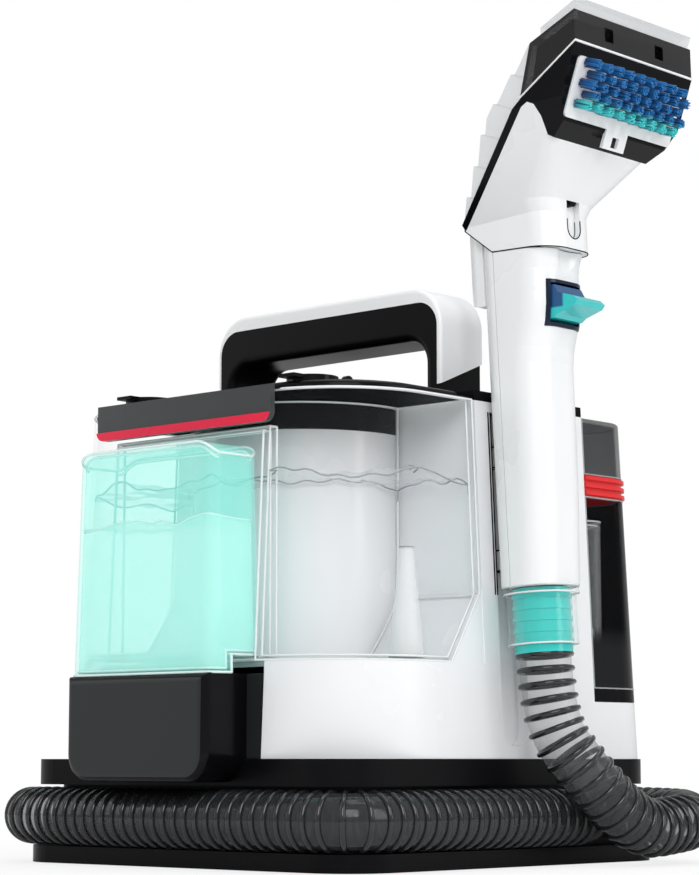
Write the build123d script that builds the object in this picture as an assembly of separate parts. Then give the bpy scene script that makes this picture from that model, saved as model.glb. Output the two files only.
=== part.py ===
from build123d import *
import os
from math import cos, radians, sin, tan

# Portable carpet and upholstery cleaner, millimetres.
# +X is the machine's right side, +Y its back, +Z up; the origin is the centre of its underside.

# Base tray, hose groove and black band
SKIRT_W = 278.0
SKIRT_D = 288.0
SKIRT_H = 10.0
SKIRT_R = 31.0
GROOVE_H = 36.0
GROOVE_DEPTH = 17.0
WAIST_R = 16.0
WAIST_WALL = 3.0
BAND_W = 268.0
BAND_D = 285.0
BAND_R = 30.0
BAND_H = 15.0
BAND_FLOOR = 4.0
BAND_WALL = 3.0
FOOT_R = 12.0
FOOT_H = 4.0
FOOT_X = 108.0
FOOT_Y = 113.0
SCREW_X = 96.0
SCREW_Y = 100.0
SCREW_R = 2.0
SCREW_HEAD_R = 4.0
SCREW_HEAD_H = 3.0
SCREW_LENGTH = 30.0
BOSS_R = 5.0
SEAT_GAP = 0.2

# Drafted body above the band
BODY_W = 266.0
BODY_D = 283.0
BODY_FRONT_R = 75.0
BODY_REAR_R = 31.0
DRAFT_DEG = 2.6
WALL = 2.5
LEDGE_H = 54.0
REAR_SHELF_H = 34.0
PORTAL_W = 136.0
PORTAL_BACK_Y = -125.0
TANK_GAP = 0.4
RIM_H = 207.0
COVER_H = 6.0

# Motor column and rear housing
COLUMN_R = 66.0
COLUMN_Y = -36.0
COLUMN_H = 137.0
CAP_GAP = 0.8
CORE_FRONT_Y = -22.0
CORE_BACK_Y = 80.0
BEVEL_Y = 29.0
BEVEL_H = 43.0
VENT_COUNT = 7
VENT_PITCH = 11.0
VENT_H = 5.0
VENT_L = 60.0
VENT_FIRST_H = 70.0

# Front pedestal
PEDESTAL_W = 114.0
PEDESTAL_FRONT_Y = -174.5
PEDESTAL_Z0 = 48.0
PEDESTAL_TOP = 108.0
PEDESTAL_CORNER_R = 16.0
PEDESTAL_EDGE_R = 5.0
PEDESTAL_WALL = 3.0
BULKHEAD_T = 4.0

# Solution tank
SOLUTION_W = 118.0
SOLUTION_FRONT_Y = -171.5
SOLUTION_BACK_Y = -128.0
SOLUTION_TOP = 237.0
SOLUTION_TOP_R = 16.0
SOLUTION_DRAFT_DEG = 1.4
SOLUTION_EDGE_R = 10.0
SOLUTION_WALL = 2.2
SOLUTION_STEP_Y = -155.0
SOLUTION_STEP_H = 10.0
SOLUTION_CAP_R = 11.0
SOLUTION_CAP_Y = -142.0

# Clean water tank, its lid and band
TANK_WALL = 2.5
TANK_BACK_Y = -24.0
NICHE_W = 122.0
NICHE_BACK_Y = -127.0
NICHE_TOP = 245.0
STANDPIPE_X = 113.0
STANDPIPE_Y = -70.0
STANDPIPE_R = 10.0
STANDPIPE_TIP_R = 4.0
STANDPIPE_H = 62.0
VALVE_R = 9.0
VALVE_H = 8.0
VALVE_Y = -115.0
LID_BAND_W = 144.0
LID_BAND_Y = -139.0
LID_BAND_T = 4.0
LID_BAND_H = 19.0
LID_BAND_R = 6.0
LID_T = 2.0
LID_INSET = 1.2
DOME_INSET = 9.0
DOME_R = 3.5
STRIP_H = 5.0
STRIP_T = 1.2
FILL_CAP_X = 68.0
FILL_CAP_Y = -100.0
FILL_CAP_R = 15.0
FILL_CAP_T = 4.0
FILL_HOLE_R = 11.0
FILL_TAB_L = 7.0
FILL_TAB_W = 12.0
HINGE_R = 2.0
HINGE_W = 16.0
HINGE_EAR_T = 3.0
HINGE_RUN = 0.05

# Handle
HANDLE_W = 188.0
HANDLE_FRONT_Y = -17.0
HANDLE_BACK_Y = 23.0
HANDLE_TOP = 341.0
HANDLE_OUTER_R = 24.0
HANDLE_R = 15.0
HANDLE_SKIN = 3.0
HANDLE_CROWN = 9.0
HANDLE_LEG = 10.0
HANDLE_GRIP_H = 22.0
HANDLE_EDGE_R = 2.5
GRIP_EDGE_R = 5.0
HANDLE_END_FRONT_Z = 281.0
HANDLE_END_BACK_Z = 298.0

# Power button
BUTTON_R = 11.0
BUTTON_Y = 52.0
BUTTON_GAP = 0.3
BUTTON_RISE = 3.0
BUTTON_TRAVEL = 3.0
SWITCH_W = 30.0
SWITCH_D = 22.0
SWITCH_H = 10.0
SWITCH_POST = 2.5

# Recovery tank at the back
RECOVERY_BASE_H = 8.0
RECOVERY_H = 116.0
SEAL_H = 14.0
SEAL_FINS = 3
SEAL_FIN_T = 2.2
SEAL_FIN_PROUD = 1.5
SEPARATOR_X = 106.0
SEPARATOR_Y = 100.0
SEPARATOR_R = 13.0
SEPARATOR_WALL = 1.6
SEPARATOR_H = 100.0
FLOAT_R = 9.0
FLOAT_REST_H = 30.0
FLOAT_FLAT = 7.2
WINDOW_W = 8.0
WINDOW_LIFT = 4.0

# Suction fan and motor
MOTOR_R = 42.0
MOTOR_H = 62.0
SHROUD_R = 54.0
SHROUD_WALL = 3.0
SHROUD_H = 30.0
MOUNT_H = 3.0
IMPELLER_R = 47.0
IMPELLER_DISC = 2.0
IMPELLER_BLADE_H = 16.0
IMPELLER_BLADE_T = 1.6
IMPELLER_HUB_R = 9.0
BLADE_COUNT = 9
BLADE_LEAN_DEG = 35.0
IMPELLER_BLADE_L = 36.0
IMPELLER_LIFT = 3.0
SHAFT_R = 4.0
SHAFT_RUN = 0.05
SHAFT_REACH = 40.0
EYE_R = 18.0

# Pump, board, duct and gland
PUMP_X = -62.0
PUMP_Y = 45.0
PUMP_R = 17.0
PUMP_L = 66.0
PUMP_FOOT_W = 24.0
PUMP_SPOUT_R = 4.0
PUMP_SPOUT_H = 12.0
BOARD_X = -55.0
BOARD_Y = -55.0
BOARD_W = 70.0
BOARD_D = 50.0
BOARD_T = 1.6
BOARD_POST_H = 6.0
BOARD_POST_R = 3.0
DUCT_X = 92.0
DUCT_Y = 64.0
DUCT_R = 14.0
DUCT_WALL = 2.0
DUCT_TOP_Z = 200.0
DUCT_BEND_R = 20.0
DUCT_TOP_BEND_R = 15.5
GLAND_X = -80.0
GLAND_Z = 78.0
GLAND_R = 9.0
GLAND_STEM_R = 7.0
GLAND_BORE_R = 4.0
GLAND_PROUD = 5.0

# Hose
HOSE_R = 17.0
HOSE_ROOT_R = 15.2
HOSE_BORE_R = 13.8
RIB_PITCH = 8.4
HOSE_LANE = 141.0
HOSE_BACK_LANE = 146.0
HOSE_Z = 27.5
LOOP_X = 179.0
LOOP_Z = 22.0
PORT_R = 16.5
PORT_BORE_R = 12.0
PORT_BEND_R = 17.0
PORT_END_Y = 46.0
WRAP_R = 35.0
WRAP_CUT = 21.0
LOOP_R = 62.0
LOOP_BEND_R = 60.0
LOOP_CUT = 36.0
LOOP_RUN = 20.0
RISER_TURNS = ((177.0, 38.0, 33.0), (170.5, 18.0, 54.0))
RISER_BENDS = (45.0, 58.0, 60.0, 50.0)
RISER_LEAD = 39.0

# Docked hand tool, in its own frame: u away from the body, v along Y, w up the grip
TOOL_X = 153.0
TOOL_Y = 4.0
TOOL_Z = 126.0
TOOL_LEAN_DEG = 3.3
GRIP_B = 46.0
GRIP_R = 16.0
GRIP_WALL = 3.0
GRIP_W0 = 33.0
GRIP_BACK = 19.0
GRIP_SPLIT = -4.0
GRIP_SEAM = 0.4
NECK_W = 236.0
COLLAR_R = 20.0
COLLAR_WALL = 2.4
COLLAR_FLANGE_R = 21.8
COLLAR_FLANGE_H = 4.0
SWIVEL_R = 16.6
SWIVEL_W0 = -6.0
SWIVEL_W1 = 32.0
SWIVEL_RINGS = 5
SWIVEL_RING_PITCH = 6.5
SWIVEL_RING_T = 2.5
SWIVEL_RING_PROUD = 0.7
DISH_R = 22.0
DISH_DEPTH = 2.0
DISH_DROP = 18.0

# The grip's front: its distance from the axis at its foot, and at levels counted from the neck
GRIP_FOOT = 18.8
GRIP_FRONT = (
    (-146.0, 21.8), (-75.0, 23.2), (-66.0, 24.4), (-59.0, 26.6), (-52.0, 28.6), (-42.0, 30.0),
    (-30.0, 30.6), (-21.0, 30.9), (-15.0, 32.2), (-9.0, 35.2), (-4.0, 37.2), (1.0, 38.0), (16.0, 38.5))
LATCH_SIDE = (
    (-15.0, -37.0), (-19.0, -37.0), (-25.5, -35.0), (-29.5, -14.0), (-30.0, 16.0), (-15.0, 16.0))
LATCH_B = 38.0
LATCH_R = 12.0

# Trigger, counted from the neck and from its frame's lower edge
TRIGGER_DROP = 55.0
TRIGGER_L = 27.0
BEZEL_B = 31.0
BEZEL_WALL = 2.0
BEZEL_PROUD = 0.8
BEZEL_BACK = 12.0
TRIGGER_GAP = 0.5
PIN_R = 1.5
PIN_U = 24.0
PIN_RISE = 21.0
PIN_RUN = 0.05
TRIGGER_SIDE = (
    (18.0, 4.0), (31.0, 4.0), (34.0, 6.0), (46.0, 9.0), (48.0, 11.5), (45.0, 14.5),
    (34.0, 18.5), (31.5, 23.5), (18.0, 23.5))

# Tool head, side outlines with heights counted from the neck
HEAD_HALF_B = 56.0
FLARE_RISE = 11.0
FLARE_H = 51.0
SEAM = ((-34.0, 17.5), (-24.0, 9.3), (-4.4, -7.0), (44.0, -11.0))
SEAM_GAP = 0.5
CHEEK_LOW = (-24.0, 9.3)
CHEEK_TOP = (48.4, 61.8)
CHEEK_TIP = ((53.5, 63.4), (57.2, 61.5), (58.8, 55.0))
CHIN_BACK = (58.1, 45.5)
CHIN = (61.0, 43.5)
NECK_FRONT = (39.0, 18.0)
NECK_FOOT = (38.5, -10.5)
HEAD_FRONT = (
    (-22.0, 38.5, 16.0), (11.0, 38.8, 16.0), (18.0, 39.0, 15.0), (43.5, 61.0, 9.0), (66.0, 84.0, 6.0))
NECK_DUCT = ((-14.0, -12.0), (-14.0, 12.0), (46.0, 55.0), (53.0, 48.0), (30.0, 20.0), (28.0, -12.0))
BACK_LOW = (-26.0, 12.5)
BACK_TOP = (57.0, 97.0)
MOUTH_TOP = (89.5, 109.0)
STRIP_LOW = (89.0, 90.2)
BRUSH_LOW = (72.0, 50.0)
LINE_BACK = (48.1, 66.6)
LINE_FOOT = (-25.0, 12.9)
LINE_T = 1.0
LINE_PROUD = 0.5
BOX_CORE = ((53.5, 67.0), (61.0, 63.0), (62.5, 49.0), (68.0, 51.0), (83.0, 84.0))
HOOD_CORE = ((55.0, 74.5), (86.0, 92.5), (86.5, 104.5), (60.0, 94.5))
HEAD_WALL = 3.0
RIDGE_COUNT = 6
RIDGE_RISE = 2.6
HOOK_SLOT_V = 24.0
HOOK_SLOT = 8.0
LIP_H = 6.0
SPRAY_R = 3.0
SPRAY_H = 5.0
SPRAY_SHARE = 0.75
SPRAY_SLOT_L = 30.0
SPRAY_SLOT_W = 12.0
SPRAY_SLOT_DEPTH = 4.0

# Brush insert
PLATE_SHARE = 0.45
PLATE_W = 100.0
PLATE_H = 35.0
PLATE_T = 5.0
PLATE_PROUD = 1.0
PLATE_R = 3.0
PLATE_GAP = 0.3
TAB_W = 20.0
TAB_H = 13.0
TAB_T = 2.0
TAB_HOLE = 6.0
TUFT_COLUMNS = 8
TUFT_ROWS = 6
TUFT_PITCH_V = 11.4
TUFT_PITCH_H = 5.2
STRANDS = 7
STRAND_R = 0.55
STRAND_RING = 1.5
STRAND_L = 12.0
BACKING_T = 1.0

# Tool dock
DOCK_W = 28.0
DOCK_Z0 = 68.0
DOCK_Z1 = 262.0
DOCK_DEPTH = 8.0
DOCK_WALL = 2.0
HOOK_W = 12.0
HOOK_T = 12.0
HOOK_LEVELS = (45.0, 106.0)

# Levels that follow from the sizes above
GROOVE_TOP = SKIRT_H + GROOVE_H
BODY_Z0 = GROOVE_TOP + BAND_H
LEDGE_Z = BODY_Z0 + LEDGE_H
SHELF_Z = BODY_Z0 + REAR_SHELF_H
RIM_Z = BODY_Z0 + RIM_H
COVER_Z = RIM_Z + COVER_H
COLUMN_TOP = LEDGE_Z + COLUMN_H
WAIST_X = SKIRT_W / 2 - GROOVE_DEPTH
WAIST_Y = SKIRT_D / 2 - GROOVE_DEPTH
RECOVERY_Z0 = SHELF_Z + TANK_GAP
SEAL_Z0 = RECOVERY_Z0 + RECOVERY_BASE_H + RECOVERY_H
REACH = 400.0
TOOL = Location((TOOL_X, TOOL_Y, TOOL_Z), (0, -TOOL_LEAN_DEG, 0))


def block(x, y, z):
    """A box between pairs of limits along each axis."""
    size = Box(x[1] - x[0], y[1] - y[0], z[1] - z[0])
    return Pos((x[0] + x[1]) / 2, (y[0] + y[1]) / 2, (z[0] + z[1]) / 2) * size


def post(x, y, z, radius):
    """An upright cylinder between two heights."""
    return Pos(x, y, (z[0] + z[1]) / 2) * Cylinder(radius, z[1] - z[0])


def slab(width, depth, radius, z):
    """A rounded rectangular plate between two heights."""
    return extrude(Pos(0, 0, z[0]) * RectangleRounded(width, depth, radius), amount=z[1] - z[0])


def corners(x, y):
    """The four corners of a rectangle about the origin."""
    return [(i * x, j * y) for i in (-1, 1) for j in (-1, 1)]


def body_plan(inset=0.0):
    """The body's outline where it meets the band: wide curves in front, tighter ones behind."""
    half_depth = BODY_D / 2 - inset
    plan = Rectangle(BODY_W - 2 * inset, 2 * half_depth)
    plan = fillet([v for v in plan.vertices() if v.Y < 0], BODY_FRONT_R - inset)
    return fillet([v for v in plan.vertices() if abs(v.Y - half_depth) < 1e-6], BODY_REAR_R - inset)


def body_form(inset=0.0):
    """The drafted outer form of the body, or that form a wall thickness smaller."""
    return extrude(Pos(0, 0, BODY_Z0) * body_plan(inset), amount=RIM_H + COVER_H, taper=DRAFT_DEG)


def bevel(gap=0.0):
    """The sloping corner between the clean tank's lower back edge and the rear housing."""
    y0 = CORE_FRONT_Y - BEVEL_Y - gap
    y1 = CORE_FRONT_Y + 1
    z1 = LEDGE_Z + BEVEL_H + gap + BEVEL_H / BEVEL_Y
    wedge = Polyline((y0, LEDGE_Z), (y1, LEDGE_Z), (y1, z1), close=True)
    return extrude(Plane.YZ * make_face(wedge), amount=BODY_W, both=True)


def dock_slot(width):
    """The upright round-bottomed channel in the right wall, as a prism along X."""
    low = DOCK_Z0 + width / 2
    slot = Pos(TOOL_Y, (low + DOCK_Z1) / 2) * Rectangle(width, DOCK_Z1 - low)
    slot += Pos(TOOL_Y, low) * Circle(width / 2)
    return extrude(Plane.YZ * slot, amount=BODY_W)


def side_prism(points, half=HEAD_HALF_B + 2):
    """A tool piece given by its side outline, heights from the neck, spread along v."""
    outline = [(u, NECK_W + rise) for u, rise in points]
    return extrude(Plane.XZ * make_face(Polyline(*outline, close=True)), amount=half, both=True)


def flare(inset=0.0):
    """The tool head's front outline, widening from the neck to the mouth."""
    neck = GRIP_B / 2 - inset
    mouth = HEAD_HALF_B - inset
    foot = NECK_W - 2 * FLARE_RISE
    low = NECK_W + FLARE_RISE
    high = low + FLARE_H
    top = NECK_W + MOUTH_TOP[1] + 2 * LIP_H
    outline = Polyline(
        (-neck, foot), (-neck, low), (-mouth, high), (-mouth, top),
        (mouth, top), (mouth, high), (neck, low), (neck, foot), close=True)
    return extrude(Plane.YZ * make_face(outline), amount=REACH, both=True)


def back_point(along, depth):
    """A point beside the tool head's sloping back: along the slope, and in from it."""
    du = BACK_TOP[0] - BACK_LOW[0]
    dw = BACK_TOP[1] - BACK_LOW[1]
    length = (du ** 2 + dw ** 2) ** 0.5
    du /= length
    dw /= length
    return (BACK_LOW[0] + along * du + depth * dw, BACK_LOW[1] + along * dw - depth * du)


def slope_plane(low, high, share):
    """The plane of a sloping front between two outline points, x along v and z outwards."""
    u = low[0] + share * (high[0] - low[0])
    rise = low[1] + share * (high[1] - low[1])
    out = (high[1] - low[1], 0, low[0] - high[0])
    return Plane(origin=(u, 0, NECK_W + rise), x_dir=(0, 1, 0), z_dir=out)


def face_plane():
    """The plane of the brush on the tool head."""
    return slope_plane(BRUSH_LOW, STRIP_LOW, PLATE_SHARE)


def rod(path, radius):
    """A round bar swept along a path."""
    return sweep(Plane(origin=path @ 0, z_dir=path % 0) * Circle(radius), path=path)


def pipe(path, radius, bore):
    """A round pipe swept along a path."""
    ring = Plane(origin=path @ 0, z_dir=path % 0) * (Circle(radius) - Circle(bore))
    return sweep(ring, path=path)


# Base pieces

def base_tray():
    tray = slab(SKIRT_W, SKIRT_D, SKIRT_R, (0, SKIRT_H))
    tray += slab(2 * WAIST_X, 2 * WAIST_Y, WAIST_R, (SKIRT_H, GROOVE_TOP))
    inner_x = 2 * (WAIST_X - WAIST_WALL)
    inner_y = 2 * (WAIST_Y - WAIST_WALL)
    tray -= slab(inner_x, inner_y, WAIST_R - WAIST_WALL, (SKIRT_H, GROOVE_TOP + 1))
    for x, y in corners(FOOT_X, FOOT_Y):
        tray -= post(x, y, (-1, FOOT_H), FOOT_R + SEAT_GAP)
    for x, y in corners(SCREW_X, SCREW_Y):
        tray -= post(x, y, (-1, SKIRT_H + 1), SCREW_R + SEAT_GAP)
        tray -= post(x, y, (-1, SCREW_HEAD_H + 1), SCREW_HEAD_R + SEAT_GAP)
    port = Pos(WAIST_X, DUCT_Y, HOSE_Z) * Rot(0, 90, 0) * Cylinder(PORT_R + SEAT_GAP, 4 * WAIST_WALL)
    return tray - port


def anti_slip_feet():
    pads = [post(x, y, (0, FOOT_H), FOOT_R) for x, y in corners(FOOT_X, FOOT_Y)]
    return Compound(children=[fillet(p.edges().group_by(Axis.Z)[0], 1.0) for p in pads])


def base_screws():
    head = (1, 1 + SCREW_HEAD_H)
    shank = (1 + SCREW_HEAD_H, 1 + SCREW_LENGTH)
    screws = []
    for x, y in corners(SCREW_X, SCREW_Y):
        screws.append(post(x, y, head, SCREW_HEAD_R) + post(x, y, shank, SCREW_R))
    return Compound(children=screws)


def base_band():
    inner_x = 2 * (WAIST_X - WAIST_WALL)
    inner_y = 2 * (WAIST_Y - WAIST_WALL)
    band = slab(BAND_W, BAND_D, BAND_R, (GROOVE_TOP, BODY_Z0))
    band -= extrude(Pos(0, 0, GROOVE_TOP + BAND_FLOOR) * body_plan(BAND_WALL), amount=BAND_H)
    band -= slab(inner_x, inner_y, WAIST_R - WAIST_WALL, (GROOVE_TOP - 1, BODY_Z0))
    for x, y in corners(SCREW_X, SCREW_Y):
        arm_x = sorted((x, x / abs(x) * WAIST_X))
        arm = block(arm_x, (y - BOSS_R, y + BOSS_R), (GROOVE_TOP, GROOVE_TOP + BAND_FLOOR))
        band += arm + post(x, y, (SKIRT_H, GROOVE_TOP + BAND_FLOOR), BOSS_R)
        band -= post(x, y, (0, GROOVE_TOP), SCREW_R + HINGE_RUN)
    return band


def lower_form(wall=0.0):
    low = BODY_Z0 - (1 if wall else 0)
    wide = (-REACH, REACH)
    outer = body_form(wall)
    if wall:
        outer += extrude(outer.faces().sort_by(Axis.Z)[0], amount=1, dir=(0, 0, -1))
    front = outer & block(wide, (-REACH, CORE_BACK_Y - wall), (low, LEDGE_Z - wall))
    return front + (outer & block(wide, wide, (low, SHELF_Z - wall)))


def lower_housing():
    shell = lower_form() - lower_form(WALL)
    shell -= block((-PORTAL_W / 2, PORTAL_W / 2), (-REACH, PORTAL_BACK_Y), (BODY_Z0 - 1, LEDGE_Z + 1))
    shell -= dock_slot(DOCK_W + SEAT_GAP)
    shell -= rod(duct_path(), DUCT_R + SEAT_GAP)
    shell -= post(0, COLUMN_Y, (LEDGE_Z - 2 * WALL, LEDGE_Z + 1), EYE_R)
    shell -= post(0, VALVE_Y, (LEDGE_Z - 2 * WALL, LEDGE_Z + 1), VALVE_R + TANK_GAP)
    gland = Pos(GLAND_X, BODY_D / 2, GLAND_Z) * Rot(90, 0, 0)
    return shell - gland * Cylinder(GLAND_STEM_R + SEAT_GAP, 8 * GLAND_PROUD)


def core_form(wall=0.0):
    low = LEDGE_Z - (1 if wall else 0)
    block_y = (CORE_FRONT_Y + wall, CORE_BACK_Y - wall)
    rear = body_form(wall) & block((-REACH, REACH), block_y, (low, RIM_Z + (1 if wall else 0)))
    rear += post(0, COLUMN_Y, (low, COLUMN_TOP + (1 if wall else 0)), COLUMN_R - wall)
    return rear


def main_housing():
    ahead = block((-REACH, REACH), (-REACH, CORE_FRONT_Y + 1), (LEDGE_Z, RIM_Z))
    wedges = body_form(TANK_GAP) & bevel() & ahead
    housing = core_form() + wedges - core_form(WALL)
    housing -= dock_slot(DOCK_W + SEAT_GAP)
    housing -= rod(duct_path(), DUCT_R + SEAT_GAP)
    for row in range(VENT_COUNT):
        z = LEDGE_Z + VENT_FIRST_H + row * VENT_PITCH
        y = (CORE_FRONT_Y + CORE_BACK_Y) / 2
        housing -= block((-REACH, -BODY_W / 4), (y - VENT_L / 2, y + VENT_L / 2), (z, z + VENT_H))
    return housing


def column_cap():
    cap = post(0, COLUMN_Y, (COLUMN_TOP, RIM_Z - CAP_GAP), COLUMN_R)
    return cap & block((-REACH, REACH), (-REACH, CORE_FRONT_Y), (0, REACH))


def top_deck():
    deck = body_form() & block((-REACH, REACH), (CORE_FRONT_Y, CORE_BACK_Y), (RIM_Z, COVER_Z))
    return deck - post(0, BUTTON_Y, (RIM_Z - 1, COVER_Z + 1), BUTTON_R + BUTTON_GAP)


def power_button():
    button = post(0, BUTTON_Y, (RIM_Z - COVER_H, COVER_Z + BUTTON_RISE), BUTTON_R)
    return fillet(button.edges().group_by(Axis.Z)[-1], 1.5)


def power_switch():
    top = RIM_Z - COVER_H - BUTTON_TRAVEL - BUTTON_GAP
    y = (BUTTON_Y - SWITCH_D / 2, BUTTON_Y + SWITCH_D / 2)
    switch = block((-SWITCH_W / 2, SWITCH_W / 2), y, (top - SWITCH_H, top))
    for side in (-1, 1):
        x = side * (SWITCH_W / 2 - SWITCH_POST / 2)
        switch += block((x - SWITCH_POST / 2, x + SWITCH_POST / 2), y, (top, RIM_Z))
    return switch


def front_pedestal():
    half = PEDESTAL_W / 2
    height = PEDESTAL_TOP - PEDESTAL_Z0
    depth = -BAND_D / 2 - SEAT_GAP - PEDESTAL_FRONT_Y
    outline = Pos(0, PEDESTAL_Z0 + height / 2) * Rectangle(PEDESTAL_W, height)
    outline = fillet([v for v in outline.vertices() if v.Y < PEDESTAL_Z0 + 1], PEDESTAL_CORNER_R)
    panel = extrude(Plane.XZ.offset(-PEDESTAL_FRONT_Y) * outline, amount=-depth)
    panel = fillet(panel.faces().sort_by(Axis.Y)[0].edges(), PEDESTAL_EDGE_R)
    seat_y = (-BAND_D / 2 - 1, NICHE_BACK_Y)
    panel += block((-half, half), seat_y, (BODY_Z0 + SEAT_GAP, PEDESTAL_TOP))
    inner_x = (PEDESTAL_WALL - half, half - PEDESTAL_WALL)
    inner_z = (PEDESTAL_Z0 + PEDESTAL_CORNER_R, PEDESTAL_TOP - PEDESTAL_WALL)
    panel -= block(inner_x, (PEDESTAL_FRONT_Y + PEDESTAL_WALL, NICHE_BACK_Y + 1), inner_z)
    side = PORTAL_W / 2 - SEAT_GAP
    y1 = PORTAL_BACK_Y - 3 * BULKHEAD_T
    flange = block((-side, side), (y1 - BULKHEAD_T, y1), (BODY_Z0 + SEAT_GAP, PEDESTAL_TOP))
    return panel + (flange - block((-half, half), (-REACH, REACH), (0, REACH)))


def cord_gland():
    draft = tan(radians(DRAFT_DEG)) * (GLAND_Z - GLAND_R - BODY_Z0)
    seat = BODY_D / 2 - draft + SEAT_GAP
    flat = Pos(GLAND_X, seat + GLAND_PROUD / 2, GLAND_Z) * Rot(90, 0, 0)
    gland = flat * Cylinder(GLAND_R, GLAND_PROUD)
    stem = Pos(GLAND_X, seat - GLAND_PROUD, GLAND_Z) * Rot(90, 0, 0)
    gland += stem * Cylinder(GLAND_STEM_R, 2 * GLAND_PROUD)
    return gland - stem * Cylinder(GLAND_BORE_R, 6 * GLAND_PROUD)


def tool_dock():
    tray = dock_slot(DOCK_W) & (body_form() - body_form(DOCK_DEPTH + DOCK_WALL))
    tray -= dock_slot(DOCK_W - 2 * DOCK_WALL) & (body_form() - body_form(DOCK_DEPTH))
    floor = dock_slot(DOCK_W) & body_form(DOCK_DEPTH)
    for level in HOOK_LEVELS:
        reach = block((-2 * GRIP_BACK, -GRIP_BACK), (-HOOK_W / 2, HOOK_W / 2), (level, level + HOOK_T))
        tray += TOOL * reach - floor
    return tray & block((0, REACH), (-REACH, REACH), (0, DOCK_Z1))


# Handle

def handle_arch(side, crown, radius):
    half = HANDLE_W / 2 - side
    top = HANDLE_TOP - crown
    arch = Pos(0, (COVER_Z + top) / 2) * Rectangle(2 * half, top - COVER_Z)
    arch = fillet([v for v in arch.vertices() if v.Y > top - 1], radius)
    return extrude(Plane.XZ.offset(-HANDLE_FRONT_Y) * arch, amount=HANDLE_FRONT_Y - HANDLE_BACK_Y)


def handle_cover():
    outer = handle_arch(0, 0, HANDLE_OUTER_R)
    rims = outer.faces().sort_by(Axis.Y)
    outer = fillet([e for f in (rims[0], rims[-1]) for e in f.edges()], HANDLE_EDGE_R)
    cover = outer - handle_arch(HANDLE_SKIN, HANDLE_CROWN, HANDLE_R)
    ends = Polyline(
        (HANDLE_FRONT_Y - 1, HANDLE_END_FRONT_Z), (HANDLE_BACK_Y + 1, HANDLE_END_BACK_Z),
        (HANDLE_BACK_Y + 1, HANDLE_TOP + 1), (HANDLE_FRONT_Y - 1, HANDLE_TOP + 1), close=True)
    return cover & extrude(Plane.YZ * make_face(ends), amount=HANDLE_W, both=True)


def handle_grip():
    half = HANDLE_W / 2 - HANDLE_SKIN - HANDLE_LEG
    gap_top = HANDLE_TOP - HANDLE_CROWN - HANDLE_GRIP_H
    hole = Pos(0, (COVER_Z - 1 + gap_top) / 2) * Rectangle(2 * half, gap_top - COVER_Z + 1)
    hole = fillet([v for v in hole.vertices() if v.Y > gap_top - 1], HANDLE_R)
    grip = handle_arch(HANDLE_SKIN, HANDLE_CROWN, HANDLE_R)
    grip -= extrude(Plane.XZ.offset(REACH / 2) * hole, amount=-REACH)
    inner = half + HANDLE_LEG / 2
    rims = []
    for edge in grip.edges():
        middle = edge.center()
        flat = min(abs(middle.Y - HANDLE_FRONT_Y), abs(middle.Y - HANDLE_BACK_Y)) < 0.01
        if flat and abs(middle.X) < inner and COVER_Z + 1 < middle.Z < gap_top + HANDLE_GRIP_H / 2:
            rims.append(edge)
    return fillet(rims, GRIP_EDGE_R)


# Clean water tank

def tank_form(wall=0.0):
    low = LEDGE_Z + TANK_GAP + wall
    high = RIM_Z + (1 if wall else 0)
    form = body_form(TANK_GAP + wall) & block((-REACH, REACH), (-REACH, TANK_BACK_Y - wall), (low, high))
    form -= post(0, COLUMN_Y, (0, REACH), COLUMN_R + TANK_GAP + wall)
    niche = NICHE_W / 2 + wall
    form -= block((-niche, niche), (-REACH, NICHE_BACK_Y + wall), (0, NICHE_TOP + wall))
    return form - bevel(TANK_GAP + wall)


def clean_tank():
    return tank_form() - tank_form(TANK_WALL)


def standpipe():
    low = LEDGE_Z + TANK_GAP + TANK_WALL
    cone = Cone(STANDPIPE_R, STANDPIPE_TIP_R, STANDPIPE_H)
    cone -= Cone(STANDPIPE_R - TANK_WALL, STANDPIPE_TIP_R - TANK_WALL / 2, STANDPIPE_H)
    return Pos(STANDPIPE_X, STANDPIPE_Y, low + STANDPIPE_H / 2) * cone


def water_valve():
    top = LEDGE_Z + TANK_GAP
    return post(0, VALVE_Y, (top - VALVE_H, top), VALVE_R)


def lid_plate():
    """A thin flange inside the tank's rim, a low dome on it, and a tongue out to the band."""
    back = (-REACH, TANK_BACK_Y)
    plate = body_form(TANK_GAP + LID_INSET) & block((-REACH, REACH), back, (RIM_Z, RIM_Z + LID_T))
    half = LID_BAND_W / 2
    plate += block((-half, half), (LID_BAND_Y + LID_BAND_T, NICHE_BACK_Y), (RIM_Z, RIM_Z + LID_T))
    dome_back = (-REACH, TANK_BACK_Y - LID_INSET)
    dome = body_form(TANK_GAP + DOME_INSET) & block((-REACH, REACH), dome_back, (RIM_Z, COVER_Z))
    return plate + fillet(dome.faces().sort_by(Axis.Z)[-1].edges(), DOME_R)


def tank_lid():
    lid = lid_plate()
    for side in (-1, 1):
        x = side * FILL_CAP_X
        lid -= post(x, FILL_CAP_Y, (0, REACH), FILL_HOLE_R)
        ear = HINGE_W / 2 + HINGE_EAR_T / 2 + SEAT_GAP
        for end in (-1, 1):
            lid += hinge_ear(x + end * ear)
        lid -= hinge_bar(x, HINGE_R + HINGE_RUN, HINGE_W + 2 * HINGE_EAR_T + 2)
    return lid


def hinge_axis():
    """Height and depth of the fill caps' hinge line."""
    return FILL_CAP_Y + FILL_CAP_R + 2 * HINGE_R, COVER_Z + SEAT_GAP + FILL_CAP_T / 2


def hinge_bar(x, radius, length):
    y, z = hinge_axis()
    return Pos(x, y, z) * Rot(0, 90, 0) * Cylinder(radius, length)


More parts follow.
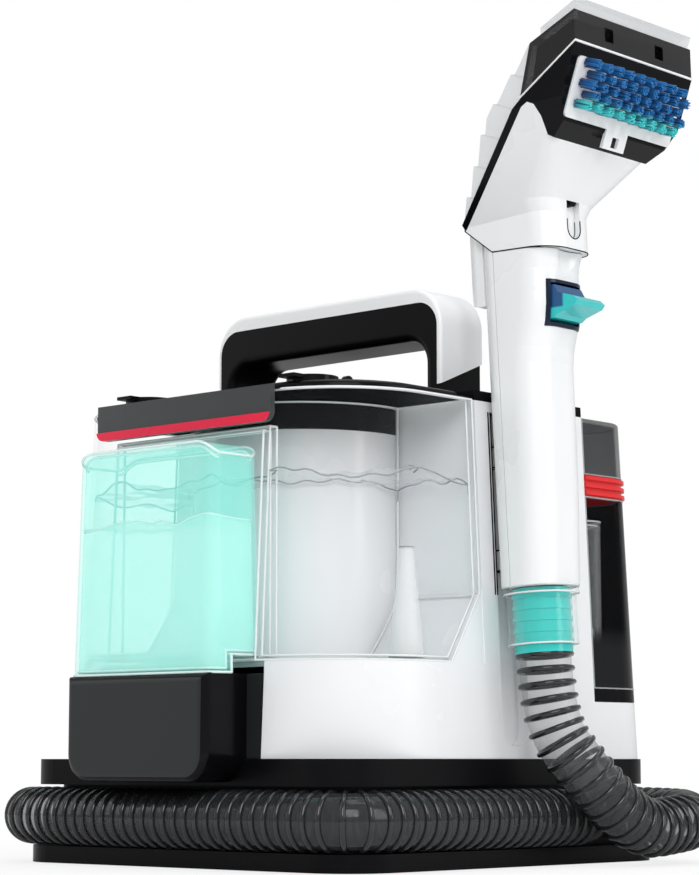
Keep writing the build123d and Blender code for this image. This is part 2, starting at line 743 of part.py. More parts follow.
def hinge_ear(x):
    y, z = hinge_axis()
    radius = FILL_CAP_T / 2 + SEAT_GAP + HINGE_RUN
    ear = Pos(x, y, z) * Rot(0, 90, 0) * Cylinder(2 * HINGE_R, HINGE_EAR_T)
    foot_x = (x - HINGE_EAR_T / 2, x + HINGE_EAR_T / 2)
    foot = block(foot_x, (y - 2 * HINGE_R, y + 2 * HINGE_R), (COVER_Z - 1, z))
    return (ear + foot) & block((-REACH, REACH), (-REACH, REACH), (COVER_Z - 1, z + 2 * radius))


def fill_cap(side):
    x = side * FILL_CAP_X
    y, z = hinge_axis()
    low = COVER_Z + SEAT_GAP
    cap = post(x, FILL_CAP_Y, (low, low + FILL_CAP_T), FILL_CAP_R)
    tab = (FILL_CAP_Y - FILL_CAP_R - FILL_TAB_L, FILL_CAP_Y)
    cap += block((x - FILL_TAB_W / 2, x + FILL_TAB_W / 2), tab, (low + FILL_CAP_T / 2, low + FILL_CAP_T))
    cap += block((x - HINGE_W / 2, x + HINGE_W / 2), (FILL_CAP_Y, y), (low, low + FILL_CAP_T))
    cap += hinge_bar(x, FILL_CAP_T / 2, HINGE_W)
    return cap + hinge_bar(x, HINGE_R, HINGE_W + 2 * HINGE_EAR_T)


def band_face(low, high):
    """The band's front outline, with its lower corners rounded, between two heights."""
    foot = RIM_Z - LID_BAND_H
    head = RIM_Z + LID_T
    face = Pos(0, (foot + head) / 2) * Rectangle(LID_BAND_W, head - foot)
    face = fillet([v for v in face.vertices() if v.Y < foot + 1], LID_BAND_R)
    return face & Pos(0, (low + high) / 2) * Rectangle(LID_BAND_W, high - low)


def lid_band():
    face = band_face(RIM_Z - LID_BAND_H, RIM_Z + LID_T)
    return extrude(Plane.XZ.offset(-LID_BAND_Y) * face, amount=-LID_BAND_T)


def accent_strip():
    foot = RIM_Z - LID_BAND_H
    return extrude(Plane.XZ.offset(-LID_BAND_Y) * band_face(foot, foot + STRIP_H), amount=STRIP_T)


# Solution tank

def solution_form(wall=0.0):
    low = PEDESTAL_TOP + TANK_GAP + wall
    depth = SOLUTION_BACK_Y - SOLUTION_FRONT_Y
    plan = RectangleRounded(SOLUTION_W - 2 * wall, depth - 2 * wall, SOLUTION_EDGE_R - wall)
    form = extrude(
        Pos(0, (SOLUTION_FRONT_Y + SOLUTION_BACK_Y) / 2, low) * plan,
        amount=SOLUTION_TOP - wall - low, taper=SOLUTION_DRAFT_DEG)
    step = PEDESTAL_TOP + TANK_GAP + SOLUTION_STEP_H + wall
    form -= block((-REACH, REACH), (SOLUTION_STEP_Y - wall, REACH), (0, step))
    top = SOLUTION_TOP - wall
    front = Pos(0, (low + top) / 2) * Rectangle(SOLUTION_W - 2 * wall, top - low)
    front = fillet([v for v in front.vertices() if v.Y > top - 1], SOLUTION_TOP_R)
    return form & extrude(Plane.XZ * front, amount=REACH, both=True)


def solution_tank():
    return solution_form() - solution_form(SOLUTION_WALL)


def solution_cap():
    low = PEDESTAL_TOP + TANK_GAP
    return post(0, SOLUTION_CAP_Y, (low, low + SOLUTION_STEP_H), SOLUTION_CAP_R)


# Recovery tank

def recovery_slice(z, wall=0.0, grow=0.0):
    back = (CORE_BACK_Y + TANK_GAP + wall, REACH)
    return body_form(wall - grow) & block((-REACH, REACH), back, z)


def recovery_base():
    return recovery_slice((RECOVERY_Z0, RECOVERY_Z0 + RECOVERY_BASE_H))


def recovery_tank():
    low = RECOVERY_Z0 + RECOVERY_BASE_H
    tank = recovery_slice((low, SEAL_Z0)) - recovery_slice((low + WALL, SEAL_Z0 + 1), WALL)
    inlet = Pos(DUCT_X, CORE_BACK_Y, DUCT_TOP_Z) * Rot(90, 0, 0) * Cylinder(DUCT_R - DUCT_WALL, 4 * WALL)
    return tank - inlet


def recovery_seal():
    z = (SEAL_Z0, SEAL_Z0 + SEAL_H)
    ring = recovery_slice(z, TANK_GAP) - recovery_slice((z[0] - 1, z[1] + 1), 2 * WALL)
    pitch = SEAL_H / SEAL_FINS
    for fin in range(SEAL_FINS):
        fin_z = z[0] + pitch * (fin + 0.5) - SEAL_FIN_T / 2
        fin_slice = (fin_z, fin_z + SEAL_FIN_T)
        ring += recovery_slice(fin_slice, 0, SEAL_FIN_PROUD) - recovery_slice(fin_slice, 2 * WALL)
    return ring & block((-REACH, REACH), (CORE_BACK_Y + TANK_GAP, REACH), (0, REACH))


def recovery_lid():
    z0 = SEAL_Z0 + SEAL_H
    lid = recovery_slice((z0, RIM_Z)) - recovery_slice((z0 - 1, RIM_Z - WALL), WALL)
    return fillet(lid.faces().sort_by(Axis.Z)[-1].edges(), WALL - 0.5)


def separator_tube():
    low = RECOVERY_Z0 + RECOVERY_BASE_H + WALL
    z = (low, low + SEPARATOR_H)
    tube = post(SEPARATOR_X, SEPARATOR_Y, z, SEPARATOR_R)
    tube -= post(SEPARATOR_X, SEPARATOR_Y, (low, z[1] - WALL), SEPARATOR_R - SEPARATOR_WALL)
    seat = low + FLOAT_REST_H - FLOAT_FLAT
    ring = post(SEPARATOR_X, SEPARATOR_Y, (seat - WALL, seat), SEPARATOR_R - SEPARATOR_WALL)
    tube += ring - post(SEPARATOR_X, SEPARATOR_Y, (0, REACH), FLOAT_R / 2)
    window_y = (SEPARATOR_Y - WINDOW_W / 2, SEPARATOR_Y + WINDOW_W / 2)
    window_z = (low + WINDOW_LIFT, seat - 2 * WALL)
    return tube - block((SEPARATOR_X, SEPARATOR_X + REACH), window_y, window_z)


def shutoff_float():
    low = RECOVERY_Z0 + RECOVERY_BASE_H + WALL
    middle = low + FLOAT_REST_H + SEAT_GAP
    ball = Pos(SEPARATOR_X, SEPARATOR_Y, middle) * Sphere(FLOAT_R)
    return ball & block((-REACH, REACH), (-REACH, REACH), (middle - FLOAT_FLAT, REACH))


# Suction fan, pump and electrics

def motor_mount():
    return post(0, COLUMN_Y, (LEDGE_Z, LEDGE_Z + MOUNT_H), SHROUD_R) - post(0, COLUMN_Y, (0, REACH), EYE_R)


def fan_shroud():
    low = LEDGE_Z + MOUNT_H
    shroud = post(0, COLUMN_Y, (low, low + SHROUD_H), SHROUD_R)
    shroud -= post(0, COLUMN_Y, (low + SHROUD_WALL, low + SHROUD_H + 1), SHROUD_R - SHROUD_WALL)
    return shroud - post(0, COLUMN_Y, (0, REACH), EYE_R)


def suction_motor():
    low = LEDGE_Z + MOUNT_H + SHROUD_H
    motor = post(0, COLUMN_Y, (low, low + SHROUD_WALL), SHROUD_R)
    motor += post(0, COLUMN_Y, (low, low + MOTOR_H), MOTOR_R)
    return motor - post(0, COLUMN_Y, (low - 1, low + SHAFT_REACH), SHAFT_R + SHAFT_RUN)


def fan_impeller():
    low = LEDGE_Z + MOUNT_H + SHROUD_WALL + IMPELLER_LIFT
    fan = post(0, 0, (low, low + IMPELLER_DISC), IMPELLER_R) - post(0, 0, (0, REACH), EYE_R)
    blade = block((-1, IMPELLER_BLADE_L), (-IMPELLER_BLADE_T / 2, IMPELLER_BLADE_T / 2),
                  (low, low + IMPELLER_BLADE_H))
    blade = Pos(IMPELLER_HUB_R - 1, 0, 0) * Rot(0, 0, BLADE_LEAN_DEG) * blade
    for turn in range(BLADE_COUNT):
        fan += Rot(0, 0, turn * 360 / BLADE_COUNT) * blade
    fan += post(0, 0, (low, low + IMPELLER_BLADE_H), IMPELLER_HUB_R)
    top = LEDGE_Z + MOUNT_H + SHROUD_H + SHAFT_REACH - 1
    return Pos(0, COLUMN_Y, 0) * (fan + post(0, 0, (low, top), SHAFT_R))


def water_pump():
    z = SKIRT_H + PUMP_R + 2
    pump = Pos(PUMP_X, PUMP_Y, z) * Rot(0, 90, 0) * Cylinder(PUMP_R, PUMP_L)
    foot = (PUMP_Y - PUMP_FOOT_W / 2, PUMP_Y + PUMP_FOOT_W / 2)
    pump += block((PUMP_X - PUMP_L / 2, PUMP_X + PUMP_L / 2), foot, (SKIRT_H, z))
    return pump + post(PUMP_X + PUMP_L / 4, PUMP_Y, (z, z + PUMP_R + PUMP_SPOUT_H), PUMP_SPOUT_R)


def control_board():
    low = SKIRT_H + BOARD_POST_H
    board = Pos(BOARD_X, BOARD_Y, 0) * slab(BOARD_W, BOARD_D, BOARD_POST_R, (low, low + BOARD_T))
    for x, y in corners(BOARD_W / 2 - BOARD_POST_R, BOARD_D / 2 - BOARD_POST_R):
        board += post(BOARD_X + x, BOARD_Y + y, (SKIRT_H, low), BOARD_POST_R - 1)
    return board


def duct_path():
    start = WAIST_X - WAIST_WALL - 1
    return FilletPolyline(
        (start, DUCT_Y, HOSE_Z), (DUCT_X, DUCT_Y, HOSE_Z), (DUCT_X, DUCT_Y, DUCT_TOP_Z),
        (DUCT_X, CORE_BACK_Y, DUCT_TOP_Z), radius=[DUCT_BEND_R, DUCT_TOP_BEND_R])


def suction_duct():
    return pipe(duct_path(), DUCT_R, DUCT_R - DUCT_WALL)


# Hose

def hose_port():
    start = WAIST_X - WAIST_WALL - 1
    path = FilletPolyline(
        (start, DUCT_Y, HOSE_Z), (HOSE_LANE, DUCT_Y, HOSE_Z), (HOSE_LANE, PORT_END_Y, HOSE_Z),
        radius=PORT_BEND_R)
    return pipe(path, PORT_R, PORT_BORE_R)


def wrap_path():
    """The hose's way round the base groove, from its port to the loop at the back right."""
    near = HOSE_LANE - WRAP_CUT
    far = HOSE_BACK_LANE - WRAP_CUT
    loop_end = HOSE_BACK_LANE - LOOP_R
    fall = (HOSE_Z - LOOP_Z) / LOOP_R * LOOP_CUT
    return FilletPolyline(
        (HOSE_LANE, PORT_END_Y, HOSE_Z), (HOSE_LANE, -far, HOSE_Z), (near, -HOSE_BACK_LANE, HOSE_Z),
        (-near, -HOSE_BACK_LANE, HOSE_Z), (-HOSE_LANE, -far, HOSE_Z),
        (-HOSE_LANE, far, HOSE_Z), (-near, HOSE_BACK_LANE, HOSE_Z),
        (LOOP_X - LOOP_CUT, HOSE_BACK_LANE, HOSE_Z), (LOOP_X, HOSE_BACK_LANE - LOOP_CUT, HOSE_Z - fall),
        (LOOP_X, loop_end, LOOP_Z), radius=[WRAP_R] * 6 + [LOOP_BEND_R] * 2)


def riser_path():
    """The hose's way up from the loop into the collar of the docked tool."""
    end = (TOOL * Pos(0, 0, SWIVEL_W0)).position
    below = (TOOL * Pos(0, 0, SWIVEL_W0 - RISER_LEAD)).position
    loop_end = HOSE_BACK_LANE - LOOP_R
    fall = (HOSE_Z - LOOP_Z) / LOOP_R * LOOP_RUN
    return FilletPolyline(
        (LOOP_X, loop_end, LOOP_Z), (LOOP_X, loop_end - LOOP_RUN, LOOP_Z - fall),
        *RISER_TURNS, below, end, radius=list(RISER_BENDS))


def ribbed(path, steady):
    """A ribbed tube with a plain bore, through four circles for each rib."""
    ribs = round(path.length / RIB_PITCH)

    def ring(along, radius):
        tangent = path % along
        across = steady - tangent * steady.dot(tangent)
        return Plane(origin=path @ along, x_dir=across, z_dir=tangent) * Circle(radius)

    profile = ((0.0, HOSE_ROOT_R), (0.4, HOSE_ROOT_R), (0.55, HOSE_R), (0.85, HOSE_R))
    rings = [ring((rib + part) / ribs, radius) for rib in range(ribs) for part, radius in profile]
    rings.append(ring(1.0, HOSE_ROOT_R))
    bore = [ring(rib / ribs, HOSE_BORE_R) for rib in range(ribs + 1)]
    return loft(rings, ruled=True) - loft(bore, ruled=True)


def hose_wrap():
    return ribbed(wrap_path(), Vector(0, 0, 1))


def hose_riser():
    return ribbed(riser_path(), Vector(1, 0, 0))


# Hand tool

def hose_swivel():
    swivel = post(0, 0, (SWIVEL_W0, SWIVEL_W1), SWIVEL_R)
    for ring in range(SWIVEL_RINGS):
        w = ring * SWIVEL_RING_PITCH
        swivel += post(0, 0, (w, w + SWIVEL_RING_T), SWIVEL_R + SWIVEL_RING_PROUD)
    return TOOL * (swivel - post(0, 0, (-REACH, REACH), HOSE_BORE_R))


def hose_collar():
    collar = post(0, 0, (0, GRIP_W0), COLLAR_R)
    collar += post(0, 0, (GRIP_W0 - COLLAR_FLANGE_H, GRIP_W0), COLLAR_FLANGE_R)
    return TOOL * (collar - post(0, 0, (-1, REACH), COLLAR_R - COLLAR_WALL))


def grip_form(inset=0.0):
    """The grip's outer form: flat behind, swelling in front towards the neck."""
    levels = [(GRIP_W0, GRIP_FOOT)] + [(NECK_W + rise, front) for rise, front in GRIP_FRONT]
    sections = []
    for w, front in levels:
        plan = RectangleRounded(GRIP_BACK + front - 2 * inset, GRIP_B - 2 * inset, GRIP_R - inset)
        sections.append(Pos((front - GRIP_BACK) / 2, 0, w) * plan)
    return loft(sections, ruled=True)


def below_seam(gap):
    """Everything under the slanting seam between the grip and the head."""
    line = [(u, rise - gap) for u, rise in SEAM]
    return side_prism([*line, (SEAM[-1][0], -REACH), (SEAM[0][0], -REACH)])


def grip_shell():
    cap = block((-REACH, REACH), (-REACH, REACH), (GRIP_W0 - 1, GRIP_W0 + GRIP_WALL))
    shell = grip_form() - (grip_form(GRIP_WALL) - cap)
    shell -= post(0, 0, (0, GRIP_W0 + 2 * GRIP_WALL), HOSE_BORE_R)
    return shell & below_seam(SEAM_GAP)


def trigger_frame(margin, u0):
    half = BEZEL_B / 2 - margin
    low = NECK_W - TRIGGER_DROP
    return block((u0, REACH), (-half, half), (low + margin, low + TRIGGER_L - margin))


def tool_grip_front():
    front = grip_shell() & block((GRIP_SPLIT + GRIP_SEAM / 2, REACH), (-REACH, REACH), (0, REACH))
    front -= trigger_frame(-SEAT_GAP, BEZEL_BACK - SEAT_GAP)
    face = [reach for rise, reach in GRIP_FRONT if rise >= -DISH_DROP - 2][0]
    return TOOL * (front - Pos(face + DISH_R - DISH_DEPTH, 0, NECK_W - DISH_DROP) * Sphere(DISH_R))


def tool_grip_back():
    back = grip_shell() & block((-REACH, GRIP_SPLIT - GRIP_SEAM / 2), (-REACH, REACH), (0, REACH))
    reach = -LATCH_SIDE[-2][0]
    plan = Pos(-LATCH_R / 2, 0, GRIP_W0) * RectangleRounded(2 * reach - LATCH_R, LATCH_B, LATCH_R)
    latch = side_prism(LATCH_SIDE) & extrude(plan, amount=REACH)
    return TOOL * (back + (latch & below_seam(SEAM_GAP)))


def trigger_bezel():
    sleeve = grip_form(-BEZEL_PROUD) & trigger_frame(0, BEZEL_BACK)
    sleeve -= trigger_frame(BEZEL_WALL, 0)
    return TOOL * (sleeve - trigger_axle(PIN_R + PIN_RUN))


def trigger_axle(radius):
    w = NECK_W - TRIGGER_DROP + PIN_RISE
    return Pos(PIN_U, 0, w) * Rot(90, 0, 0) * Cylinder(radius, BEZEL_B - BEZEL_WALL)


def trigger_pin():
    return TOOL * trigger_axle(PIN_R)


def trigger():
    side = [(u, rise - TRIGGER_DROP) for u, rise in TRIGGER_SIDE]
    lever = side_prism(side, BEZEL_B / 2 - BEZEL_WALL - TRIGGER_GAP)
    return TOOL * (lever - trigger_axle(PIN_R + PIN_RUN))


def head_form():
    """The head's rounded envelope: the grip's plan at the neck, wider and sharper towards the mouth."""
    back = NECK_FOOT[0]
    sections = []
    for rise, front, radius in HEAD_FRONT:
        spread = max(rise - FLARE_RISE, 0) / FLARE_H
        half = GRIP_B / 2 + spread * (HEAD_HALF_B - GRIP_B / 2)
        plan = RectangleRounded(back + front, 2 * half, radius)
        sections.append(Pos((front - back) / 2, 0, NECK_W + rise) * plan)
    return loft(sections, ruled=True)


def tool_head():
    outline = [CHEEK_LOW, SEAM[2], NECK_FOOT, NECK_FRONT, CHIN, CHIN_BACK, *CHEEK_TIP[::-1], CHEEK_TOP]
    head = side_prism(outline) & head_form()
    head -= side_prism(NECK_DUCT) & flare(HEAD_WALL)
    slot = slope_plane(NECK_FOOT, NECK_FRONT, SPRAY_SHARE) * Rot(0, 0, 90)
    head -= extrude(slot * SlotOverall(SPRAY_SLOT_L, SPRAY_SLOT_W), amount=-SPRAY_SLOT_DEPTH)
    return TOOL * head


def spray_nozzle():
    plane = slope_plane(NECK_FOOT, NECK_FRONT, 1.0).offset(-SPRAY_SLOT_DEPTH)
    tip = extrude(plane * Circle(SPRAY_R), amount=SPRAY_H - 1)
    return TOOL * (tip - extrude(plane.offset(1) * Circle(SPRAY_R / 3), amount=SPRAY_H))


def nozzle_box():
    outline = [CHEEK_LOW, CHEEK_TOP, *CHEEK_TIP, CHIN_BACK, CHIN, BRUSH_LOW, STRIP_LOW, LINE_BACK, LINE_FOOT]
    box = side_prism(outline) & flare()
    box -= side_prism(BOX_CORE) & flare(HEAD_WALL)
    pocket = face_plane().offset(PLATE_PROUD - PLATE_T)
    floor = extrude(pocket.offset(-HEAD_WALL) * Rectangle(PLATE_W + 4, PLATE_H + 2), amount=HEAD_WALL)
    box += floor & side_prism(outline) & flare()
    plate = RectangleRounded(PLATE_W + 2 * PLATE_GAP, PLATE_H + 2 * PLATE_GAP, PLATE_R)
    box -= extrude(pocket * plate, amount=2 * PLATE_T)
    notch = Pos(0, -PLATE_H / 2) * Rectangle(TAB_W + 2 * PLATE_GAP, 2 * TAB_H)
    box -= extrude(face_plane().offset(PLATE_PROUD - TAB_T - PLATE_GAP) * notch, amount=2 * PLATE_T)
    return TOOL * box


def nozzle_hood():
    low_back = (LINE_BACK[0], LINE_BACK[1] + LINE_T)
    low_front = (STRIP_LOW[0], STRIP_LOW[1] + LINE_T)
    outline = [low_back, low_front, MOUTH_TOP, BACK_TOP]
    hood = side_prism(outline) & flare()
    hood -= side_prism(HOOD_CORE) & flare(HEAD_WALL)
    rise = (low_front[1] + MOUTH_TOP[1]) / 2 - HOOK_SLOT / 2
    for side in (-1, 1):
        v = side * HOOK_SLOT_V
        z = (NECK_W + rise, NECK_W + rise + HOOK_SLOT)
        hood -= block((STRIP_LOW[0] - 2 * HEAD_WALL, REACH), (v - HOOK_SLOT / 2, v + HOOK_SLOT / 2), z)
    return TOOL * hood


def nozzle_cover():
    step = ((BACK_TOP[0] - BACK_LOW[0]) ** 2 + (BACK_TOP[1] - BACK_LOW[1]) ** 2) ** 0.5 / RIDGE_COUNT
    points = [LINE_FOOT]
    for ridge in range(RIDGE_COUNT):
        points.append(back_point(ridge * step, 0))
        points.append(back_point((ridge + 0.9) * step, -RIDGE_RISE))
    points.append(BACK_TOP)
    points.append((LINE_BACK[0], LINE_BACK[1] + LINE_T))
    return TOOL * (side_prism(points) & flare(HEAD_WALL))


def head_trim():
    slope = (STRIP_LOW[1] - LINE_BACK[1]) / (STRIP_LOW[0] - LINE_BACK[0])
    front = (STRIP_LOW[0] + LINE_PROUD, STRIP_LOW[1] + slope * LINE_PROUD)
    points = [LINE_BACK, front, (front[0], front[1] + LINE_T), (LINE_BACK[0], LINE_BACK[1] + LINE_T)]
    return TOOL * (side_prism(points) & flare(-LINE_PROUD))


def nozzle_lip():
    slope = (MOUTH_TOP[1] - BACK_TOP[1]) / (MOUTH_TOP[0] - BACK_TOP[0])
    u0 = BACK_TOP[0] + LIP_H
    w0 = BACK_TOP[1] + slope * LIP_H
    w1 = MOUTH_TOP[1] + LIP_H
    points = [(u0, w0), MOUTH_TOP, (MOUTH_TOP[0] + LIP_H / 2, w1), (MOUTH_TOP[0] - LIP_H / 2, w1),
              (u0, w0 + LIP_H)]
    return TOOL * (side_prism(points) & flare(HEAD_WALL))


def brush_plate():
    base = face_plane().offset(PLATE_PROUD - PLATE_T)
    plate = extrude(base * RectangleRounded(PLATE_W, PLATE_H, PLATE_R), amount=PLATE_T)
    front = face_plane().offset(PLATE_PROUD - TAB_T)
    tab = Pos(0, -PLATE_H / 2 - TAB_H / 2 + TAB_T) * Rectangle(TAB_W, TAB_H)
    tab -= Pos(0, -PLATE_H / 2 - TAB_H / 2) * Rectangle(TAB_HOLE, TAB_HOLE)
    return TOOL * (plate + extrude(front * tab, amount=TAB_T))


def brush_bristles():
    base = face_plane().offset(PLATE_PROUD)
    width = TUFT_COLUMNS * TUFT_PITCH_V
    height = TUFT_ROWS * TUFT_PITCH_H
    strands = []
    for column in range(TUFT_COLUMNS):
        for row in range(TUFT_ROWS):
            x = (column - (TUFT_COLUMNS - 1) / 2) * TUFT_PITCH_V + (row % 2 - 0.5) * TUFT_PITCH_V / 4
            y = (row - (TUFT_ROWS - 1) / 2) * TUFT_PITCH_H
            for strand in range(STRANDS):
                angle = radians(strand * 360 / (STRANDS - 1))
                ring = STRAND_RING if strand < STRANDS - 1 else 0
                spot = Pos(x + ring * cos(angle), y + ring * sin(angle))
                strands.append(extrude(base * spot * RegularPolygon(STRAND_R, 3), amount=STRAND_L))
    backing = extrude(base * RectangleRounded(width + 2, height + 1, PLATE_R / 2), amount=BACKING_T)
    return TOOL * backing.fuse(*strands)


PARTS = {
    "base_tray": base_tray,
    "anti_slip_feet": anti_slip_feet,
    "base_screws": base_screws,
    "base_band": base_band,
    "lower_housing": lower_housing,
    "main_housing": main_housing,
    "column_cap": column_cap,
    "top_deck": top_deck,
    "power_button": power_button,
    "power_switch": power_switch,
    "front_pedestal": front_pedestal,
    "cord_gland": cord_gland,
    "tool_dock": tool_dock,
    "handle_cover": handle_cover,
    "handle_grip": handle_grip,
    "clean_tank": clean_tank,
    "standpipe": standpipe,
    "water_valve": water_valve,
    "tank_lid": tank_lid,
    "fill_cap_left": lambda: fill_cap(-1),
    "fill_cap_right": lambda: fill_cap(1),
    "lid_band": lid_band,
    "accent_strip": accent_strip,
    "solution_tank": solution_tank,
    "solution_cap": solution_cap,
    "recovery_base": recovery_base,
    "recovery_tank": recovery_tank,
    "recovery_seal": recovery_seal,
    "recovery_lid": recovery_lid,
    "separator_tube": separator_tube,
    "shutoff_float": shutoff_float,
    "motor_mount": motor_mount,
    "fan_shroud": fan_shroud,
    "suction_motor": suction_motor,
    "fan_impeller": fan_impeller,
    "water_pump": water_pump,
    "control_board": control_board,
    "suction_duct": suction_duct,
    "hose_port": hose_port,
    "hose_wrap": hose_wrap,
    "hose_riser": hose_riser,
    "hose_swivel": hose_swivel,
    "hose_collar": hose_collar,
    "tool_grip_front": tool_grip_front,
    "tool_grip_back": tool_grip_back,
    "trigger_bezel": trigger_bezel,
    "trigger_pin": trigger_pin,
    "trigger": trigger,
    "tool_head": tool_head,
    "spray_nozzle": spray_nozzle,
    "nozzle_box": nozzle_box,
    "nozzle_hood": nozzle_hood,
    "nozzle_cover": nozzle_cover,
    "head_trim": head_trim,
    "nozzle_lip": nozzle_lip,
    "brush_plate": brush_plate,
    "brush_bristles": brush_bristles,
}

os.makedirs("parts", exist_ok=True)
for node, make in PARTS.items():
    export_step(make(), f"parts/{node}.step")
hose_length = wrap_path().length + riser_path().length
print("hose length", round(hose_length, 1), "bend radii", WRAP_R, LOOP_BEND_R, *RISER_BENDS)
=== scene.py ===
from math import cos, pi, radians, sin

import bmesh
import bpy
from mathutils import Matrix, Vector


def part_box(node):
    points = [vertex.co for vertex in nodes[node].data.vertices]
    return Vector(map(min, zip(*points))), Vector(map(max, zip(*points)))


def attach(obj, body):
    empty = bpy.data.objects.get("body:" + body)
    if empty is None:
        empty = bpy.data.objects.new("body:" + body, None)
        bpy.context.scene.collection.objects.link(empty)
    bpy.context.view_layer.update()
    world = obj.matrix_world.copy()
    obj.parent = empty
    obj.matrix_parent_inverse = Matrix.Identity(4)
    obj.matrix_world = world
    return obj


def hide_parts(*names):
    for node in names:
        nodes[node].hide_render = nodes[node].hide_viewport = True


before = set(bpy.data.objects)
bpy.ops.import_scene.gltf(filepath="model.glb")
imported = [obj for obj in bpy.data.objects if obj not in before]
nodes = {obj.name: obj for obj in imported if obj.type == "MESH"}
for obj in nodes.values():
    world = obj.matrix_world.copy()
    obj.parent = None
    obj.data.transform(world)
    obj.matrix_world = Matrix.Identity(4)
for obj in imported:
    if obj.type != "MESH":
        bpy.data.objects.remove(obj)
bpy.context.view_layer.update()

# Studio: a wide white floor under a soft white surround, with a big soft lamp at the front right and
# weaker ones at the left, overhead and at the right. The camera stands low at the front right corner,
# where the photograph was taken from, and looks slightly up.
scene = bpy.context.scene
scene.view_settings.view_transform = "Standard"
scene.cycles.transparent_max_bounces = 32

camera = bpy.data.objects.new("camera", bpy.data.cameras.new("camera"))
camera.location = (1.0489, -1.1375, 0.0598)
camera.rotation_euler = (radians(97.33), 0, radians(42.54))
camera.data.lens = 103.47
camera.data.sensor_width = 36
scene.collection.objects.link(camera)
scene.camera = camera


def softbox(name, place, aim, size, watts):
    """A rectangular soft lamp that looks from its place at a point on the machine."""
    lamp = bpy.data.lights.new(name, "AREA")
    lamp.shape = "RECTANGLE"
    lamp.size, lamp.size_y = size
    lamp.energy = watts
    holder = bpy.data.objects.new(name, lamp)
    holder.location = place
    holder.rotation_euler = (Vector(aim) - Vector(place)).to_track_quat("-Z", "Y").to_euler()
    scene.collection.objects.link(holder)


softbox("key_softbox", place=(1.35, -1.2, 1.25), aim=(0.02, -0.05, 0.2), size=(1.1, 1.1), watts=17)
softbox("left_softbox", place=(-1.5, -0.9, 0.8), aim=(0, 0, 0.2), size=(0.8, 1.2), watts=3)
softbox("top_softbox", place=(0.1, 0.3, 1.7), aim=(0, 0, 0.2), size=(1.2, 1.2), watts=8)
softbox("right_softbox", place=(1.7, 0.5, 0.9), aim=(0.1, 0, 0.25), size=(0.6, 1.2), watts=6)


class Wire:
    """A shader socket that takes part in sums: each sum adds its Math node."""

    def __init__(self, finish, socket):
        self.finish = finish
        self.socket = socket

    def sum_with(self, operation, first, second):
        return self.finish.node("ShaderNodeMath", {"operation": operation}, {0: first, 1: second})

    def __add__(self, other):
        return self.sum_with("ADD", self, other)

    def __sub__(self, other):
        return self.sum_with("SUBTRACT", self, other)

    def __rsub__(self, other):
        return self.sum_with("SUBTRACT", other, self)

    def __mul__(self, other):
        return self.sum_with("MULTIPLY", self, other)

    __radd__ = __add__
    __rmul__ = __mul__


class Finish:
    """One finish: a Principled shader with fixed values, and the nodes that vary it."""

    def __init__(self, name, colour, **fixed):
        self.material = bpy.data.materials.new(name)
        self.material.use_nodes = True
        self.tree = self.material.node_tree
        self.shader = self.tree.nodes["Principled BSDF"]
        self.colour = (*colour, 1)
        self.shader.inputs["Base Color"].default_value = self.colour
        self.material.diffuse_color = self.colour
        for socket, value in fixed.items():
            self.shader.inputs[socket.replace("_", " ")].default_value = value

    def node(self, kind, settings=None, values=None, out=0):
        """Adds a node: its type, its settings, then the values or links of its sockets."""
        made = self.tree.nodes.new(kind)
        for setting, value in (settings or {}).items():
            setattr(made, setting, value)
        for socket, value in (values or {}).items():
            if isinstance(value, Wire):
                self.tree.links.new(value.socket, made.inputs[socket])
            else:
                made.inputs[socket].default_value = value
        return Wire(self, made.outputs[out])

    def feed(self, socket, wire):
        self.tree.links.new(wire.socket, self.shader.inputs[socket])
        return self

    def place(self):
        return self.node("ShaderNodeTexCoord", out="Object")

    def along(self, axis):
        return self.node("ShaderNodeSeparateXYZ", None, {"Vector": self.place()}, out=axis)

    def along_line(self, line):
        """How far a point lies along any direction."""
        return self.node("ShaderNodeVectorMath", {"operation": "DOT_PRODUCT"}, {
            0: self.place(), 1: tuple(line)}, out="Value")

    def noise(self, scale, detail=2.0):
        return self.node("ShaderNodeTexNoise", None, {
            "Vector": self.place(), "Scale": scale, "Detail": detail})

    def between(self, value, start, end, low=0.0, high=1.0):
        """Goes from low to high while a value goes from start to end."""
        return self.node("ShaderNodeMapRange", None, {
            "Value": value, "From Min": start, "From Max": end, "To Min": low, "To Max": high})

    def blend(self, share, first, second):
        """A colour between two. A Mix node's colours are its sockets 6 and 7, and come out at 2."""
        return self.node("ShaderNodeMix", {"data_type": "RGBA"}, {0: share, 6: first, 7: second}, out=2)

    def bump(self, height, strength, depth):
        return self.feed("Normal", self.node("ShaderNodeBump", None, {
            "Strength": strength, "Distance": depth, "Height": height}))

    def moulded(self, grain, depth, rough, sheen):
        """Moulded plastic: a fine texture from the tool, and a slow drift in gloss and shade."""
        drift = self.noise(scale=14.0, detail=3.0)
        self.feed("Roughness", drift * (2 * sheen) + (rough - sheen))
        darkest = 0.93
        dark = (*(part * darkest for part in self.colour[:3]), 1)
        self.feed("Base Color", self.blend(drift, dark, self.colour))
        return self.bump(self.noise(grain), strength=0.35, depth=depth)


